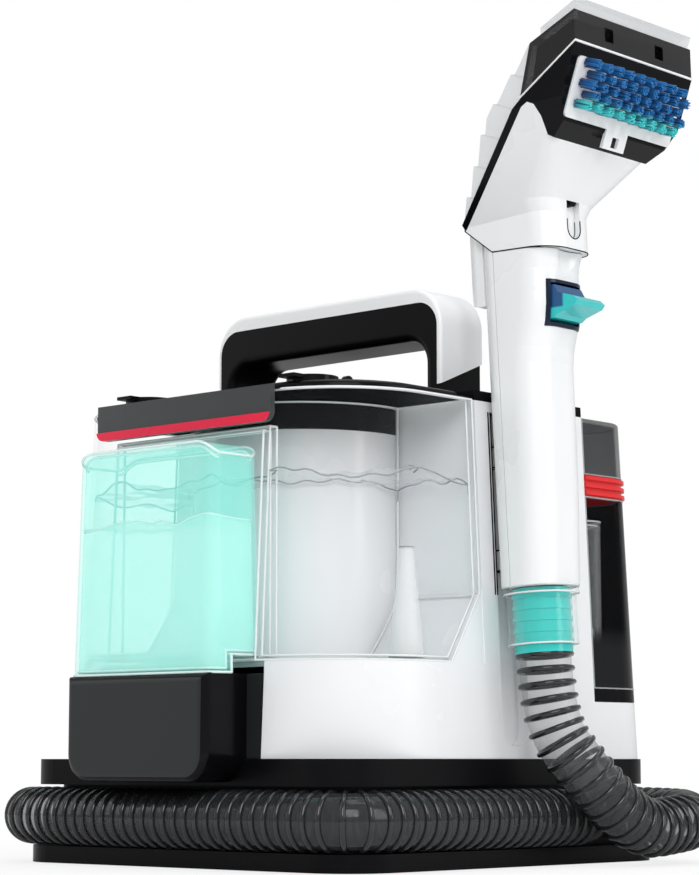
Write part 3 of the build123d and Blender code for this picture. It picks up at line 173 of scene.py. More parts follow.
floor_finish = Finish("studio_white", (0.92, 0.92, 0.92), Roughness=0.9, Specular_IOR_Level=0.0)
seen = floor_finish.node("ShaderNodeLightPath", out="Is Camera Ray")
white_glow = floor_finish.node("ShaderNodeEmission", None, {"Color": (1, 1, 1, 1), "Strength": 1.0})
lit = Wire(floor_finish, floor_finish.shader.outputs["BSDF"])
far_off = floor_finish.node("ShaderNodeVectorMath", {"operation": "LENGTH"}, {
    0: floor_finish.place()}, out="Value")
shadow_fade = floor_finish.between(far_off, start=0.2, end=0.55, low=0.8, high=1.0)
both = floor_finish.node("ShaderNodeMixShader", None, {0: seen * shadow_fade, 1: lit, 2: white_glow})
ground = floor_finish.tree.nodes["Material Output"]
floor_finish.tree.links.new(both.socket, ground.inputs["Surface"])
floor_reach = 30
floor_height = -0.0005
sheet = bpy.data.meshes.new("floor")
sheet.from_pydata(
    [(x * floor_reach, y * floor_reach, floor_height) for x, y in ((-1, -1), (1, -1), (1, 1), (-1, 1))],
    [], [(0, 1, 2, 3)])
sheet.materials.append(floor_finish.material)
floor = bpy.data.objects.new("floor", sheet)
scene.collection.objects.link(floor)

level_as_light = 0.55
level_as_seen = 1.0
surround = bpy.data.worlds.new("surround")
surround.use_nodes = True
scene.world = surround
sky = surround.node_tree
sky_ray = sky.nodes.new("ShaderNodeLightPath")
white_seen = sky.nodes.new("ShaderNodeMath")
white_seen.operation = "MAXIMUM"
sky.links.new(sky_ray.outputs["Is Camera Ray"], white_seen.inputs[0])
sky.links.new(sky_ray.outputs["Is Transmission Ray"], white_seen.inputs[1])
sky_level = sky.nodes.new("ShaderNodeMapRange")
sky_level.inputs["To Min"].default_value = level_as_light
sky_level.inputs["To Max"].default_value = level_as_seen
sky.links.new(white_seen.outputs[0], sky_level.inputs["Value"])
sky.nodes["Background"].inputs["Color"].default_value = (1, 1, 1, 1)
sky.links.new(sky_level.outputs["Result"], sky.nodes["Background"].inputs["Strength"])

# Base: a black tray with a groove for the hose, a band above it, four rubber pads pressed into the
# underside and four screws that hold the band down. Moulded in a hard black plastic.
deep_black = (0.003, 0.003, 0.004)


def dress(finish, *names):
    """Gives a finish to solids that keep their own shape."""
    for name in names:
        nodes[name].data.materials.clear()
        nodes[name].data.materials.append(finish.material)


tray_black = Finish("tray_black", deep_black, Specular_IOR_Level=0.09)
tray_black.moulded(grain=1500.0, depth=0.00006, rough=0.30, sheen=0.06)
dress(tray_black, "base_tray", "base_band", "cord_gland", "hose_port")
pad_rubber = Finish("pad_rubber", (0.03, 0.03, 0.03))
pad_rubber.moulded(grain=900.0, depth=0.00012, rough=0.75, sheen=0.08)
dress(pad_rubber, "anti_slip_feet")
screw_zinc = Finish("screw_zinc", (0.62, 0.63, 0.65), Metallic=1.0)
screw_zinc.moulded(grain=600.0, depth=0.00002, rough=0.30, sheen=0.08)
dress(screw_zinc, "base_screws")

# Housing: the white lower shell, the motor column with the rear block, and the slot that the hand
# tool hangs in are moulded in a cool white gloss plastic; the deck and the column's cap are black.
shell_white = Finish("shell_white", (0.86, 0.87, 0.89), Coat_Weight=0.25, Coat_Roughness=0.08)
shell_white.moulded(grain=1100.0, depth=0.00002, rough=0.26, sheen=0.05)
dress(shell_white, "lower_housing", "main_housing", "tool_dock")
deck_black = Finish("deck_black", deep_black, Specular_IOR_Level=0.07)
deck_black.moulded(grain=1200.0, depth=0.00004, rough=0.28, sheen=0.06)
dress(deck_black, "top_deck", "column_cap")

# Inside: suction motor with its fan and shroud on a rubber mount, water pump, control board and the
# duct from the hose to the recovery tank. They are sealed in and show only when the covers come off.
motor_can = Finish("motor_can", (0.50, 0.51, 0.53), Metallic=1.0)
motor_can.moulded(grain=500.0, depth=0.00002, rough=0.36, sheen=0.08)
dress(motor_can, "suction_motor")
dress(pad_rubber, "motor_mount")
fan_sheet = Finish("fan_sheet", (0.75, 0.76, 0.78), Metallic=1.0)
fan_sheet.moulded(grain=700.0, depth=0.00002, rough=0.28, sheen=0.07)
dress(fan_sheet, "fan_impeller")
board_green = Finish("board_green", (0.015, 0.16, 0.06))
board_green.moulded(grain=800.0, depth=0.00003, rough=0.45, sheen=0.08)
dress(board_green, "control_board")
duct_black = Finish("duct_black", (0.02, 0.02, 0.022))
duct_black.moulded(grain=1000.0, depth=0.00005, rough=0.5, sheen=0.08)
dress(duct_black, "fan_shroud", "water_pump", "suction_duct")

# Front pedestal: a polished black block that carries the solution tank, moulded in one piece, with a
# satin dark grey face, which is left bare.
pedestal_black = Finish("pedestal_black", deep_black, Specular_IOR_Level=0.12)
pedestal_black.moulded(grain=900.0, depth=0.00001, rough=0.20, sheen=0.05)
dress(pedestal_black, "front_pedestal")
face_grey = Finish("face_grey", (0.016, 0.018, 0.019), Specular_IOR_Level=0.3)
face_grey.moulded(grain=1400.0, depth=0.00003, rough=0.40, sheen=0.05)


def second_finish(name, finish, toward):
    """Gives the faces of a solid that look squarely one way a finish of their own."""
    squarely = 0.9
    mesh = nodes[name].data
    mesh.materials.append(finish.material)
    for face in mesh.polygons:
        if face.normal.dot(Vector(toward)) > squarely:
            face.material_index = len(mesh.materials) - 1


second_finish("front_pedestal", face_grey, toward=(0, -1, 0))

# Clean water tank: clear plastic, blow moulded to fit round the motor column and part filled with
# water. A standpipe stands inside and a valve below. Its polished black lid has a matt underside, two
# fill caps, and a grey band with a red strip across its front.


def polished(name, tint, rough=0.03, shine=0.6, painted_glow=0.0):
    """The skin of a clear plastic: smooth, with the soft ripple that blow moulding leaves."""
    # A glow above nought gives off the tint as light: a painted glow, not a lamp.
    finish = Finish(name, tint, Roughness=rough, IOR=1.5, Specular_IOR_Level=shine,
                    Emission_Color=(*tint, 1), Emission_Strength=painted_glow)
    return finish.bump(finish.noise(scale=30.0), strength=0.25, depth=0.0006)


def edge_on(finish):
    """How far a clear wall is seen edge on, where it catches more light."""
    facing = finish.node("ShaderNodeLayerWeight", None, {"Blend": 0.32}, out="Facing")
    return facing * facing


def clear(name, tint, body, rim, painted_glow=0.0):
    """Clear plastic or liquid: light goes straight through, more is caught where it is seen edge on."""
    steady_part = 0.8
    flowing_part = 0.35
    finish = polished(name, tint, painted_glow=painted_glow)
    flow = finish.noise(scale=22.0)
    return finish.feed(
        "Alpha", edge_on(finish) * rim + flow * (flowing_part * body) + steady_part * body)


class Tree:
    """A Geometry Nodes tree with named inputs for its sizes."""

    def __init__(self, name, **sizes):
        self.group = bpy.data.node_groups.new(name, "GeometryNodeTree")
        self.sizes = {}
        sockets = self.group.interface
        sockets.new_socket("Geometry", in_out="INPUT", socket_type="NodeSocketGeometry")
        sockets.new_socket("Geometry", in_out="OUTPUT", socket_type="NodeSocketGeometry")
        for size, value in sizes.items():
            made = sockets.new_socket(size, in_out="INPUT", socket_type="NodeSocketFloat")
            self.sizes[made.identifier] = value
        self.start = self.group.nodes.new("NodeGroupInput")
        self.seed = self.start.outputs["Geometry"]

    def size(self, name):
        return self.start.outputs[name]

    def node(self, kind, settings=None, values=None, out=0):
        """Adds a node: its type, its settings, then the values or links of its sockets."""
        made = self.group.nodes.new(kind)
        for setting, value in (settings or {}).items():
            setattr(made, setting, value)
        for socket, value in (values or {}).items():
            if isinstance(value, bpy.types.NodeSocket):
                self.group.links.new(value, made.inputs[socket])
            else:
                made.inputs[socket].default_value = value
        return made.outputs[out]

    def maths(self, operation, first, second=0.0):
        return self.node("ShaderNodeMath", {"operation": operation}, {0: first, 1: second})

    def vector(self, operation, first, second):
        socket = "Scale" if operation == "SCALE" else 1
        return self.node("ShaderNodeVectorMath", {"operation": operation}, {0: first, socket: second})

    def tube(self, line, sides, radius, capped=False):
        """A round tube along a line."""
        profile = self.node("GeometryNodeCurvePrimitiveCircle", None, {
            "Resolution": sides, "Radius": radius})
        return self.node("GeometryNodeCurveToMesh", None, {
            "Curve": line, "Profile Curve": profile, "Fill Caps": capped})

    def stand(self, instance, points, toward):
        """One instance on each point, its Z axis turned to a direction."""
        turn = self.node("FunctionNodeAlignRotationToVector", {"axis": "Z"}, {"Vector": toward})
        return self.node("GeometryNodeInstanceOnPoints", None, {
            "Points": points, "Instance": instance, "Rotation": turn})

    def made_real(self, geometry, finish):
        """Plain faces in place of instances, in their finish."""
        real = self.node("GeometryNodeRealizeInstances", None, {"Geometry": geometry})
        return self.node("GeometryNodeSetMaterial", None, {"Geometry": real, "Material": finish.material})

    def grow(self, geometry, seed_object, name):
        """Ends the tree, runs it on an object and returns the result as a plain mesh piece."""
        end = self.group.nodes.new("NodeGroupOutput")
        self.group.links.new(geometry, end.inputs["Geometry"])
        modifier = seed_object.modifiers.new(name, "NODES")
        modifier.node_group = self.group
        for identifier, value in self.sizes.items():
            modifier[identifier] = value
        graph = bpy.context.evaluated_depsgraph_get()
        mesh = bpy.data.meshes.new_from_object(seed_object.evaluated_get(graph))
        seed_object.modifiers.remove(modifier)
        bpy.data.objects.remove(seed_object)
        mesh.name = name
        piece = bpy.data.objects.new(name, mesh)
        scene.collection.objects.link(piece)
        return piece


def whole(copy):
    """Every part of a mesh that is being worked on."""
    return copy.verts[:] + copy.edges[:] + copy.faces[:]


def edge_beads(name, source, body, finish, radius, heights=(-1.0, 1.0)):
    """Painted light and shade along edges: a fine bead along the sharp ones between two heights, pale for
    the highlights on clear plastic, dark for the shade at water lines, standpipe edges and seams.
    """
    lowest, highest = heights
    bead_sides = 6
    beads = Tree(name, bead_radius=radius, least_angle=radians(34), lowest=lowest, highest=highest)
    merged = beads.node("GeometryNodeMergeByDistance", None, {"Geometry": beads.seed, "Distance": 1e-5})
    angle = beads.node("GeometryNodeInputMeshEdgeAngle")
    sharp = beads.maths("GREATER_THAN", angle, beads.size("least_angle"))
    spot = beads.node("GeometryNodeInputPosition")
    rise = beads.node("ShaderNodeSeparateXYZ", None, {"Vector": spot}, out="Z")
    above = beads.maths("GREATER_THAN", rise, beads.size("lowest"))
    below = beads.maths("LESS_THAN", rise, beads.size("highest"))
    chosen = beads.maths("MULTIPLY", sharp, beads.maths("MULTIPLY", above, below))
    lines = beads.node("GeometryNodeMeshToCurve", None, {"Mesh": merged, "Selection": chosen})
    tubes = beads.tube(lines, bead_sides, beads.size("bead_radius"), capped=True)

    # Edges are cut at both heights, so that none reaches past them.
    copy = bmesh.new()
    copy.from_mesh(source.data)
    for height in heights:
        bmesh.ops.bisect_plane(
            copy, geom=whole(copy), dist=1e-7, plane_co=(0, 0, height), plane_no=(0, 0, 1))
    cut_mesh = bpy.data.meshes.new(name)
    copy.to_mesh(cut_mesh)
    copy.free()
    seed = bpy.data.objects.new(name, cut_mesh)
    scene.collection.objects.link(seed)
    piece = beads.grow(beads.made_real(tubes, finish), seed, name)
    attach(piece, body)


def ripple(x, y):
    """An uneven water surface: a slow swell, a quicker one across it and a fine shiver, each with its
    waves in radians per metre."""
    slow = sin(x * 95 + 1.3 * sin(y * 40)) * cos(y * 60 + 1)
    quick = sin(x * 210 - y * 130 + 2) * sin(x * 33 + 0.7)
    shiver = sin(x * 330 + y * 170)
    return 0.8 * slow + 0.6 * quick + 0.25 * shiver


def liquid(name, node, finish, surface, level, shrink, swell):
    """Fills a tank: the tank's own inner wall below the level, closed by a gently waved surface."""
    at_surface = 0.002
    surface_step = 0.004
    copy = bmesh.new()
    copy.from_mesh(nodes[node].data)
    bmesh.ops.remove_doubles(copy, verts=copy.verts, dist=1e-6)
    bmesh.ops.bisect_plane(
        copy, geom=whole(copy), dist=1e-7, plane_co=(0, 0, level), plane_no=(0, 0, 1), clear_outer=True)

    # The wall below the level falls apart into an outer and an inner shell. The inner one stays.
    left = set(copy.faces)
    shells = []
    while left:
        found = [left.pop()]
        for face in found:
            for edge in face.edges:
                for other in edge.link_faces:
                    if other in left:
                        left.remove(other)
                        found.append(other)
        shells.append(found)

    def reach(shell):
        return max(v.co.x for f in shell for v in f.verts)

    inner = min(shells, key=reach)
    bmesh.ops.delete(copy, geom=[f for s in shells if s is not inner for f in s], context="FACES")
    bmesh.ops.reverse_faces(copy, faces=copy.faces)
    copy.normal_update()
    for vert in copy.verts:
        vert.co -= vert.normal * shrink

    # The surface is closed, cut into small squares and waved.
    rim_edges = [e for e in copy.edges if e.is_boundary]
    bmesh.ops.triangle_fill(copy, edges=rim_edges, use_beauty=True)
    lo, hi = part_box(node)
    for axis in (0, 1):
        steps = int((hi[axis] - lo[axis]) / surface_step)
        for step in range(1, steps):
            spot = Vector((0, 0, 0))
            spot[axis] = lo[axis] + (hi[axis] - lo[axis]) * step / steps
            normal = Vector((0, 0, 0))
            normal[axis] = 1
            top = [f for f in copy.faces if all(abs(v.co.z - level) < at_surface for v in f.verts)]
            geom = list({g for f in top for g in (f, *f.edges, *f.verts)})
            bmesh.ops.bisect_plane(copy, geom=geom, dist=1e-6, plane_co=spot, plane_no=normal)
    for vert in copy.verts:
        if abs(vert.co.z - level) < at_surface:
            vert.co.z += swell * ripple(vert.co.x, vert.co.y)
    bmesh.ops.triangulate(copy, faces=copy.faces)
    bmesh.ops.recalc_face_normals(copy, faces=copy.faces)
    made = bpy.data.meshes.new(name)
    copy.to_mesh(made)
    copy.free()
    made.materials.append(finish.material)
    made.materials.append(surface.material)

    # Faces near the level that look up have the surface's finish: a tint painted on for the light and
    # shade that the liquid's surface shows.
    upward = 0.5
    highest_wave = 3 * swell
    for face in made.polygons:
        face.material_index = int(face.normal.z > upward and abs(face.center.z - level) < highest_wave)
    piece = bpy.data.objects.new(name, made)
    scene.collection.objects.link(piece)
    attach(piece, node)
    return piece


tank_clear = clear("tank_clear", (0.86, 0.90, 0.92), body=0.004, rim=0.16)
dress(tank_clear, "clean_tank")
standpipe_clear = clear("standpipe_clear", (0.95, 0.96, 0.97), body=0.34, rim=0.60)
dress(standpipe_clear, "standpipe")
# Painted highlight: a pale bead along the sharp edges of clear parts, for the glint that runs along them.
edge_highlight = Finish("edge_highlight", (0.90, 0.92, 0.93), Alpha=0.85, Roughness=0.12)
edge_beads("clean_tank_edges", nodes["clean_tank"], "clean_tank", edge_highlight,
           radius=0.0007)
lid_black = Finish("lid_black", deep_black, Specular_IOR_Level=0.14)
lid_black.moulded(grain=1000.0, depth=0.00001, rough=0.18, sheen=0.05)
dress(lid_black, "tank_lid", "fill_cap_left", "fill_cap_right", "water_valve")
lid_matt = Finish("lid_matt", (0.004, 0.004, 0.005), Specular_IOR_Level=0.0)
lid_matt.moulded(grain=700.0, depth=0.00006, rough=0.8, sheen=0.05)
second_finish("tank_lid", lid_matt, toward=(0, 0, -1))
band_grey = Finish("band_grey", (0.040, 0.043, 0.045), Specular_IOR_Level=0.4)
band_grey.moulded(grain=1000.0, depth=0.00002, rough=0.26, sheen=0.05)
dress(band_grey, "lid_band")
strip_red = Finish("strip_red", (0.80, 0.012, 0.055), Specular_IOR_Level=0.3)
strip_red.moulded(grain=900.0, depth=0.00001, rough=0.28, sheen=0.05)
dress(strip_red, "accent_strip")
water_clear = clear("water_clear", (0.84, 0.89, 0.91), body=0.012, rim=0.30)
# Painted reflection: the faces of the water's surface are greyer and denser than the water below, for the
# light that the surface reflects.
water_top_reflection = clear("water_top_reflection", (0.72, 0.76, 0.78), body=0.14, rim=0.45)
water = liquid("clean_water", "clean_tank", water_clear, water_top_reflection,
               level=0.2205, shrink=0.0003, swell=0.0032)
# Painted shade: a dark grey bead along the standpipe's edges and round the water's surface, for the dark
# lines that bent light draws there.
painted_edge_shade = Finish("painted_edge_shade", (0.34, 0.37, 0.39), Alpha=0.7, Roughness=0.1)
edge_beads("standpipe_edges", nodes["standpipe"], "clean_tank", painted_edge_shade,
           radius=0.0004)
edge_beads("painted_edge_shade", water, "clean_tank", painted_edge_shade, radius=0.0005,
           heights=(0.212, 0.23))

# Solution tank: a clear aqua bottle that slides onto the pedestal from the front, with a teal cap, part
# filled with cleaning liquid. Bottle and liquid give off a little of their tint, a painted glow that
# stands in for the light scattered in them.
tank_aqua = clear("tank_aqua", (0.36, 1.0, 0.90), body=0.20, rim=0.40, painted_glow=0.12)
dress(tank_aqua, "solution_tank")
# Painted highlight: a pale aqua bead along the bottle's edges and round the liquid's surface.
edge_highlight_aqua = Finish("edge_highlight_aqua", (0.86, 1.0, 0.98), Alpha=0.8, Roughness=0.12)
edge_beads("solution_tank_edges", nodes["solution_tank"], "solution_tank", edge_highlight_aqua,
           radius=0.0008)
cap_teal = Finish("cap_teal", (0.02, 0.42, 0.44))
cap_teal.moulded(grain=900.0, depth=0.00002, rough=0.3, sheen=0.05)
dress(cap_teal, "solution_cap")
liquid_aqua = clear("liquid_aqua", (0.86, 1.0, 0.97), body=0.34, rim=0.30, painted_glow=0.12)
# Painted shade: the liquid's surface is a darker teal than the liquid, for the shade along its wavy line.
liquid_top_shade = clear("liquid_top_shade", (0.30, 0.85, 0.78), body=0.25, rim=0.40)
detergent = liquid("cleaning_liquid", "solution_tank", liquid_aqua, liquid_top_shade,
                   level=0.194, shrink=0.0003, swell=0.0022)
edge_beads("detergent_line", detergent, "solution_tank", edge_highlight_aqua, radius=0.0006,
           heights=(0.187, 0.201))

# Recovery tank: smoked plastic at the back, nearly black, but for a clear window in the front of its
# right wall that shows the tube which parts the dirty water from the air. It has a black base, a
# smoked lid over a ribbed red rubber seal, and a white float inside.
tank_smoke = polished("tank_smoke", (0.003, 0.0035, 0.005), shine=0.2)
smoke_alpha = 0.96
window_clears = 0.84
right_wall = tank_smoke.between(tank_smoke.along("X"), start=0.112, end=0.118)
front_part = tank_smoke.between(tank_smoke.along("Y"), start=0.122, end=0.112)
upper_part = tank_smoke.between(tank_smoke.along("Z"), start=0.128, end=0.140)
tank_smoke.feed("Alpha", smoke_alpha - right_wall * front_part * upper_part * window_clears)
dress(tank_smoke, "recovery_tank")
lid_smoke = clear("lid_smoke", (0.010, 0.012, 0.015), body=0.55, rim=0.30)
dress(lid_smoke, "recovery_lid")
pipe_clear = clear("pipe_clear", (0.86, 0.90, 0.92), body=0.06, rim=0.75)
dress(pipe_clear, "separator_tube")
# Painted highlight: a grey bead along the edges of the smoked tank and its lid.
edge_highlight_smoke = Finish("edge_highlight_smoke", (0.55, 0.58, 0.60), Alpha=0.6, Roughness=0.12)
edge_beads("recovery_tank_edges", nodes["recovery_tank"], "recovery_tank", edge_highlight_smoke,
           radius=0.0005)
edge_beads("recovery_lid_edges", nodes["recovery_lid"], "recovery_tank", edge_highlight_smoke,
           radius=0.0005)
edge_beads("separator_edges", nodes["separator_tube"], "recovery_tank", edge_highlight,
           radius=0.0006)
seal_red = Finish("seal_red", (0.75, 0.012, 0.015))
seal_red.moulded(grain=700.0, depth=0.00003, rough=0.35, sheen=0.06)
dress(seal_red, "recovery_seal")
dress(deck_black, "recovery_base")
dress(shell_white, "shutoff_float")

# Handle: a silver lacquered cover over a black grip, on the deck behind the lid. The power button
# stands in the deck behind it, over its switch.
cover_silver = Finish("cover_silver", (0.92, 0.93, 0.94), Metallic=0.04)
cover_silver.moulded(grain=2200.0, depth=0.00002, rough=0.34, sheen=0.05)
dress(cover_silver, "handle_cover")
grip_black = Finish("grip_black", deep_black, Specular_IOR_Level=0.10)
grip_black.moulded(grain=1600.0, depth=0.00005, rough=0.30, sheen=0.06)
dress(grip_black, "handle_grip")
button_grey = Finish("button_grey", (0.22, 0.23, 0.25))
button_grey.moulded(grain=900.0, depth=0.00002, rough=0.34, sheen=0.06)
dress(button_grey, "power_button")
dress(deck_black, "power_switch")

# Suction hose: a smoky vinyl film over dark rib rings. It leaves the port on the right, lies once
# round the groove of the base, loops out at the back right corner and climbs into the tool. The film
# is painted darker and denser where it lies in the groove, a painted shade for the shadow under the
# tray, and is lighter and clearer where it climbs.
hose_route = [
    (141, 46, 27.5), (141, -125, 27.5), (120, -146, 27.5), (-120, -146, 27.5), (-141, -125, 27.5),
    (-141, 125, 27.5), (-120, 146, 27.5), (143, 146, 27.5), (179, 110, 24.3), (179, 84, 22),
    (179, 64, 20.2), (177, 38, 33), (170.5, 18, 54), (155.59, 4, 81.07), (153.35, 4, 120)]
mm_per_metre = 1000
line = bpy.data.curves.new("hose_line", "CURVE")
line.dimensions = "3D"
spline = line.splines.new("NURBS")
spline.points.add(len(hose_route) - 1)
for point, (x, y, z) in zip(spline.points, hose_route):
    point.co = (x / mm_per_metre, y / mm_per_metre, z / mm_per_metre, 1)
spline.order_u = 3
spline.use_endpoint_u = True
spline.resolution_u = 24
line_object = bpy.data.objects.new("hose_line", line)
scene.collection.objects.link(line_object)
depsgraph = bpy.context.evaluated_depsgraph_get()
line_mesh = bpy.data.meshes.new_from_object(line_object.evaluated_get(depsgraph))

film_smoke = polished("film_smoke", (0.12, 0.125, 0.13), rough=0.12)
film_rim = 0.4
groove_top = 0.040
climb_start = 0.080
# Painted shade: the film is darker and denser in the groove than where it climbs, for the shadow under
# the tray.
groove_painted_shade = (0.045, 0.048, 0.05, 1)
climb_tone = (0.30, 0.31, 0.32, 1)
film_height = film_smoke.along("Z")
film_body = film_smoke.between(film_height, groove_top, climb_start, low=0.52, high=0.13)
film_smoke.feed("Alpha", edge_on(film_smoke) * film_rim + film_body)
groove_shade_fade = film_smoke.between(film_height, groove_top, climb_start)
film_smoke.feed("Base Color", film_smoke.blend(groove_shade_fade, groove_painted_shade, climb_tone))
rib_dark = Finish("rib_dark", (0.014, 0.015, 0.017), Specular_IOR_Level=0.45,
                  Coat_Weight=0.25, Coat_Roughness=0.06)
rib_dark.moulded(grain=700.0, depth=0.000005, rough=0.14, sheen=0.04)
ring_sides = 40
wire_sides = 8
film_sides = 32
film_steps_per_rib = 4.0
winding = Tree("hose_winding", rib_pitch=0.0084, rib_wire=0.0017, rib_radius=0.0153, film_radius=0.0152)
spaced = winding.node("GeometryNodeResampleCurve", {"mode": "LENGTH"}, {
    "Curve": winding.seed, "Length": winding.size("rib_pitch")})
ring_line = winding.node("GeometryNodeCurvePrimitiveCircle", None, {
    "Resolution": ring_sides, "Radius": winding.size("rib_radius")})
ring = winding.tube(ring_line, wire_sides, winding.size("rib_wire"))
ribs = winding.stand(ring, spaced, toward=winding.node("GeometryNodeInputTangent"))
film_step = winding.maths("DIVIDE", winding.size("rib_pitch"), film_steps_per_rib)
fine_line = winding.node("GeometryNodeResampleCurve", {"mode": "LENGTH"}, {
    "Curve": winding.seed, "Length": film_step})
film = winding.tube(fine_line, film_sides, winding.size("film_radius"))
joined = winding.node("GeometryNodeJoinGeometry")
for layer in (winding.made_real(ribs, rib_dark), winding.made_real(film, film_smoke)):
    winding.group.links.new(layer, joined.node.inputs[0])
smoothed = winding.node("GeometryNodeSetShadeSmooth", None, {"Geometry": joined})
hose = winding.grow(smoothed, line_object, "suction_hose")
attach(hose, "chassis")
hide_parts("hose_wrap", "hose_riser")

# Hand tool, grip: two white halves screwed together round the suction channel, a teal swivel in a
# clear collar where the hose goes in, and a trigger on a pin in a dark blue frame. The trigger is
# moulded in two colours, teal with a blue upper half behind its lip.
grip_white = Finish("grip_white", (0.86, 0.87, 0.88), Coat_Weight=0.25, Coat_Roughness=0.1)
grip_white.moulded(grain=1300.0, depth=0.00002, rough=0.28, sheen=0.05)
dress(grip_white, "tool_grip_front", "tool_grip_back")
collar_clear = clear("collar_clear", (0.86, 0.94, 0.94), body=0.02, rim=0.55)
dress(collar_clear, "hose_collar")
edge_beads("hose_collar_edges", nodes["hose_collar"], "chassis", edge_highlight,
           radius=0.0005)
swivel_teal = Finish("swivel_teal", (0.02, 0.60, 0.55), Coat_Weight=0.3)
swivel_teal.moulded(grain=800.0, depth=0.00002, rough=0.25, sheen=0.05)
dress(swivel_teal, "hose_swivel")
bezel_blue = Finish("bezel_blue", (0.002, 0.010, 0.036), Specular_IOR_Level=0.3, Coat_Weight=0.1)
bezel_blue.moulded(grain=900.0, depth=0.00001, rough=0.2, sheen=0.05)
dress(bezel_blue, "trigger_bezel")
trigger_teal = Finish("trigger_teal", (0.02, 0.55, 0.55), Coat_Weight=0.3)
trigger_teal.moulded(grain=900.0, depth=0.00002, rough=0.25, sheen=0.05)
trigger_blue = (0.004, 0.075, 0.23, 1)
upper_half = trigger_teal.between(trigger_teal.along("Z"), start=0.3180, end=0.3188)
behind_lip = trigger_teal.between(trigger_teal.along("X"), start=0.1800, end=0.1785)
trigger_teal.feed(
    "Base Color", trigger_teal.blend(upper_half * behind_lip, trigger_teal.colour, trigger_blue))
dress(trigger_teal, "trigger")
dress(screw_zinc, "trigger_pin")

# Hand tool, head: a white neck that flares to a black suction mouth under a smoked hood, a white bead
# between the two, a clear ridged cover on its back, a clear lip on top and a spray jet in the neck. The
# joints of the head and of the tool's slot in the housing show as fine dark lines of painted shadow.
dress(grip_white, "tool_head", "head_trim")
mouth_black = Finish("mouth_black", deep_black, Specular_IOR_Level=0.12)
mouth_black.moulded(grain=900.0, depth=0.00001, rough=0.16, sheen=0.05)
dress(mouth_black, "nozzle_box", "spray_nozzle")
hood_smoke = clear("hood_smoke", deep_black, body=0.92, rim=0.25)
dress(hood_smoke, "nozzle_hood")
ridge_clear = clear("ridge_clear", (0.50, 0.54, 0.57), body=0.26, rim=0.55)
dress(ridge_clear, "nozzle_cover", "nozzle_lip")
seam_shadow = Finish("seam_shadow", (0.006, 0.006, 0.007), Roughness=0.7, Specular_IOR_Level=0.05)
edge_beads("head_seam", nodes["tool_head"], "chassis", seam_shadow, radius=0.00035,
           heights=(0.3, 0.371))
edge_beads("dock_seam", nodes["tool_dock"], "chassis", seam_shadow, radius=0.0005,
           heights=(0.155, 0.262))

# Brush: staggered tufts of nylon set in a white plate that clips into the head, blue above and teal in
# the lower rows, each strand a little splayed and painted darker towards its root, a painted shade for
# the shadow down among the tufts.
dress(grip_white, "brush_plate")
tool_foot = Vector((0.153, 0.004, 0.126))
tool_lean = radians(3.3)
plate_ahead = 0.07965
plate_rise = 0.30409
plate_spot = tool_foot + Vector((
    cos(tool_lean) * plate_ahead - sin(tool_lean) * plate_rise, 0,
    sin(tool_lean) * plate_ahead + cos(tool_lean) * plate_rise))
plate_out = Vector((0.94194, 0, -0.33583)).normalized()
plate_side = Vector((0, 1, 0))
plate_up = plate_out.cross(plate_side).normalized()
tuft_columns = 9
tuft_rows = 5
column_pitch = 0.0102
row_pitch = 0.0058
rows_lift = 0.0030
plate_proud = 0.0015
tuft_spots = []
for column in range(tuft_columns):
    for row in range(tuft_rows):
        stagger = (row % 2 - 0.5) * column_pitch / 2
        wide = (column - tuft_columns // 2) * column_pitch + stagger
        tall = (row - tuft_rows // 2) * row_pitch + rows_lift
        tuft_spots.append(plate_spot + plate_out * plate_proud + plate_side * wide + plate_up * tall)
tuft_mesh = bpy.data.meshes.new("tuft_spots")
tuft_mesh.from_pydata(tuft_spots, [], [])
tuft_object = bpy.data.objects.new("tuft_spots", tuft_mesh)
scene.collection.objects.link(tuft_object)

nylon = Finish("nylon", (0.01, 0.12, 0.55), Specular_IOR_Level=0.5)
strand_span = 0.013
plate_span = 0.031
strand_share = (nylon.along_line(plate_out) - plate_spot.dot(plate_out)) * (1 / strand_span)
plate_share = (nylon.along_line(plate_up) - plate_spot.dot(plate_up)) * (1 / plate_span) + 0.5
low_rows = nylon.between(plate_share, start=0.40, end=0.30)
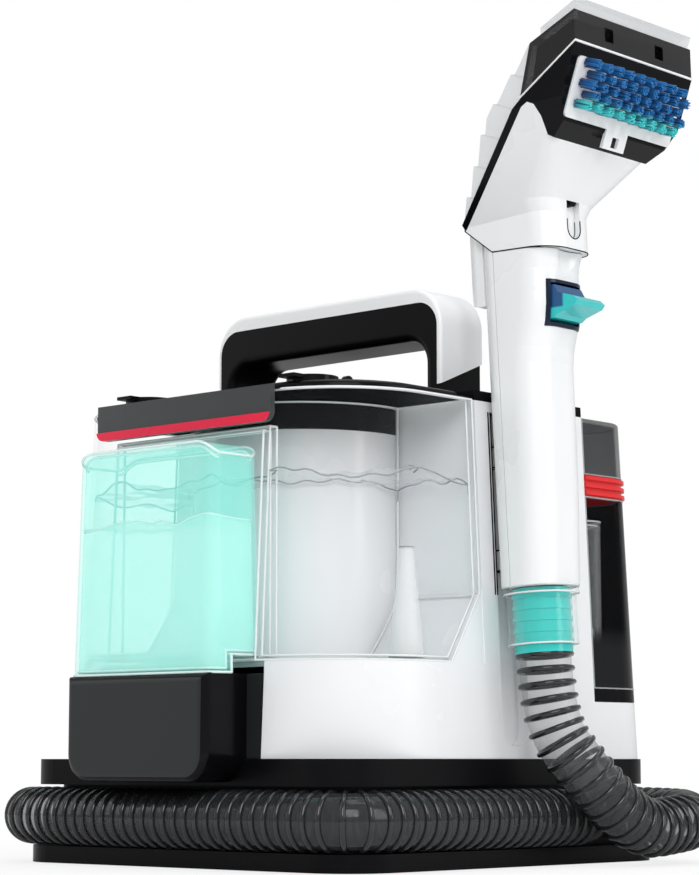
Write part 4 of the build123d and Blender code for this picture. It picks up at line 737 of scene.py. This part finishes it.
# Painted shade: each strand darkens towards its root, for the shadow down among the tufts.
root_painted_shade = nylon.blend(low_rows, (0.003, 0.020, 0.10, 1), (0.004, 0.10, 0.20, 1))
tip_colour = nylon.blend(low_rows, (0.014, 0.16, 0.44, 1), (0.07, 0.62, 0.64, 1))
from_root = nylon.between(strand_share, start=0.1, end=0.8)
nylon.feed("Base Color", nylon.blend(from_root, root_painted_shade, tip_colour))
least_rough = 0.28
rough_range = 0.2
nylon.feed("Roughness", nylon.noise(scale=900.0) * rough_range + least_rough)

strands_per_tuft = 52
strand_sides = 6
strand_tip = 0.0003
splay = 8.0
tufts = Tree("brush_tufts", strand_length=0.0100, strand_radius=0.00042, tuft_radius=0.0025)
spots = tufts.node("GeometryNodeMeshToPoints", None, {"Mesh": tufts.seed})
many = tufts.node("GeometryNodeDuplicateElements", {"domain": "POINT"}, {
    "Geometry": spots, "Amount": strands_per_tuft})
angle = tufts.node("FunctionNodeRandomValue", {"data_type": "FLOAT"}, {"Max": 2 * pi, "Seed": 3}, out=1)
far = tufts.node("FunctionNodeRandomValue", {"data_type": "FLOAT"}, {"Max": 1.0, "Seed": 5}, out=1)
radius = tufts.maths("MULTIPLY", tufts.maths("SQRT", far), tufts.size("tuft_radius"))
sideways = tufts.maths("MULTIPLY", tufts.maths("COSINE", angle), radius)
upwards = tufts.maths("MULTIPLY", tufts.maths("SINE", angle), radius)
spread = tufts.vector("ADD", tufts.vector("SCALE", tuple(plate_side), sideways),
                      tufts.vector("SCALE", tuple(plate_up), upwards))
scattered = tufts.node("GeometryNodeSetPosition", None, {"Geometry": many, "Offset": spread})
strand = tufts.node("GeometryNodeMeshCone", {"fill_type": "NGON"}, {
    "Vertices": strand_sides, "Side Segments": 2, "Radius Top": strand_tip,
    "Radius Bottom": tufts.size("strand_radius"), "Depth": tufts.size("strand_length")})
aim = tufts.vector("ADD", tuple(plate_out), tufts.vector("SCALE", spread, splay))
standing = tufts.stand(strand, scattered, toward=aim)
bristles = tufts.grow(tufts.made_real(standing, nylon), tuft_object, "brush_tufts")
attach(bristles, "brush")
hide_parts("brush_bristles")
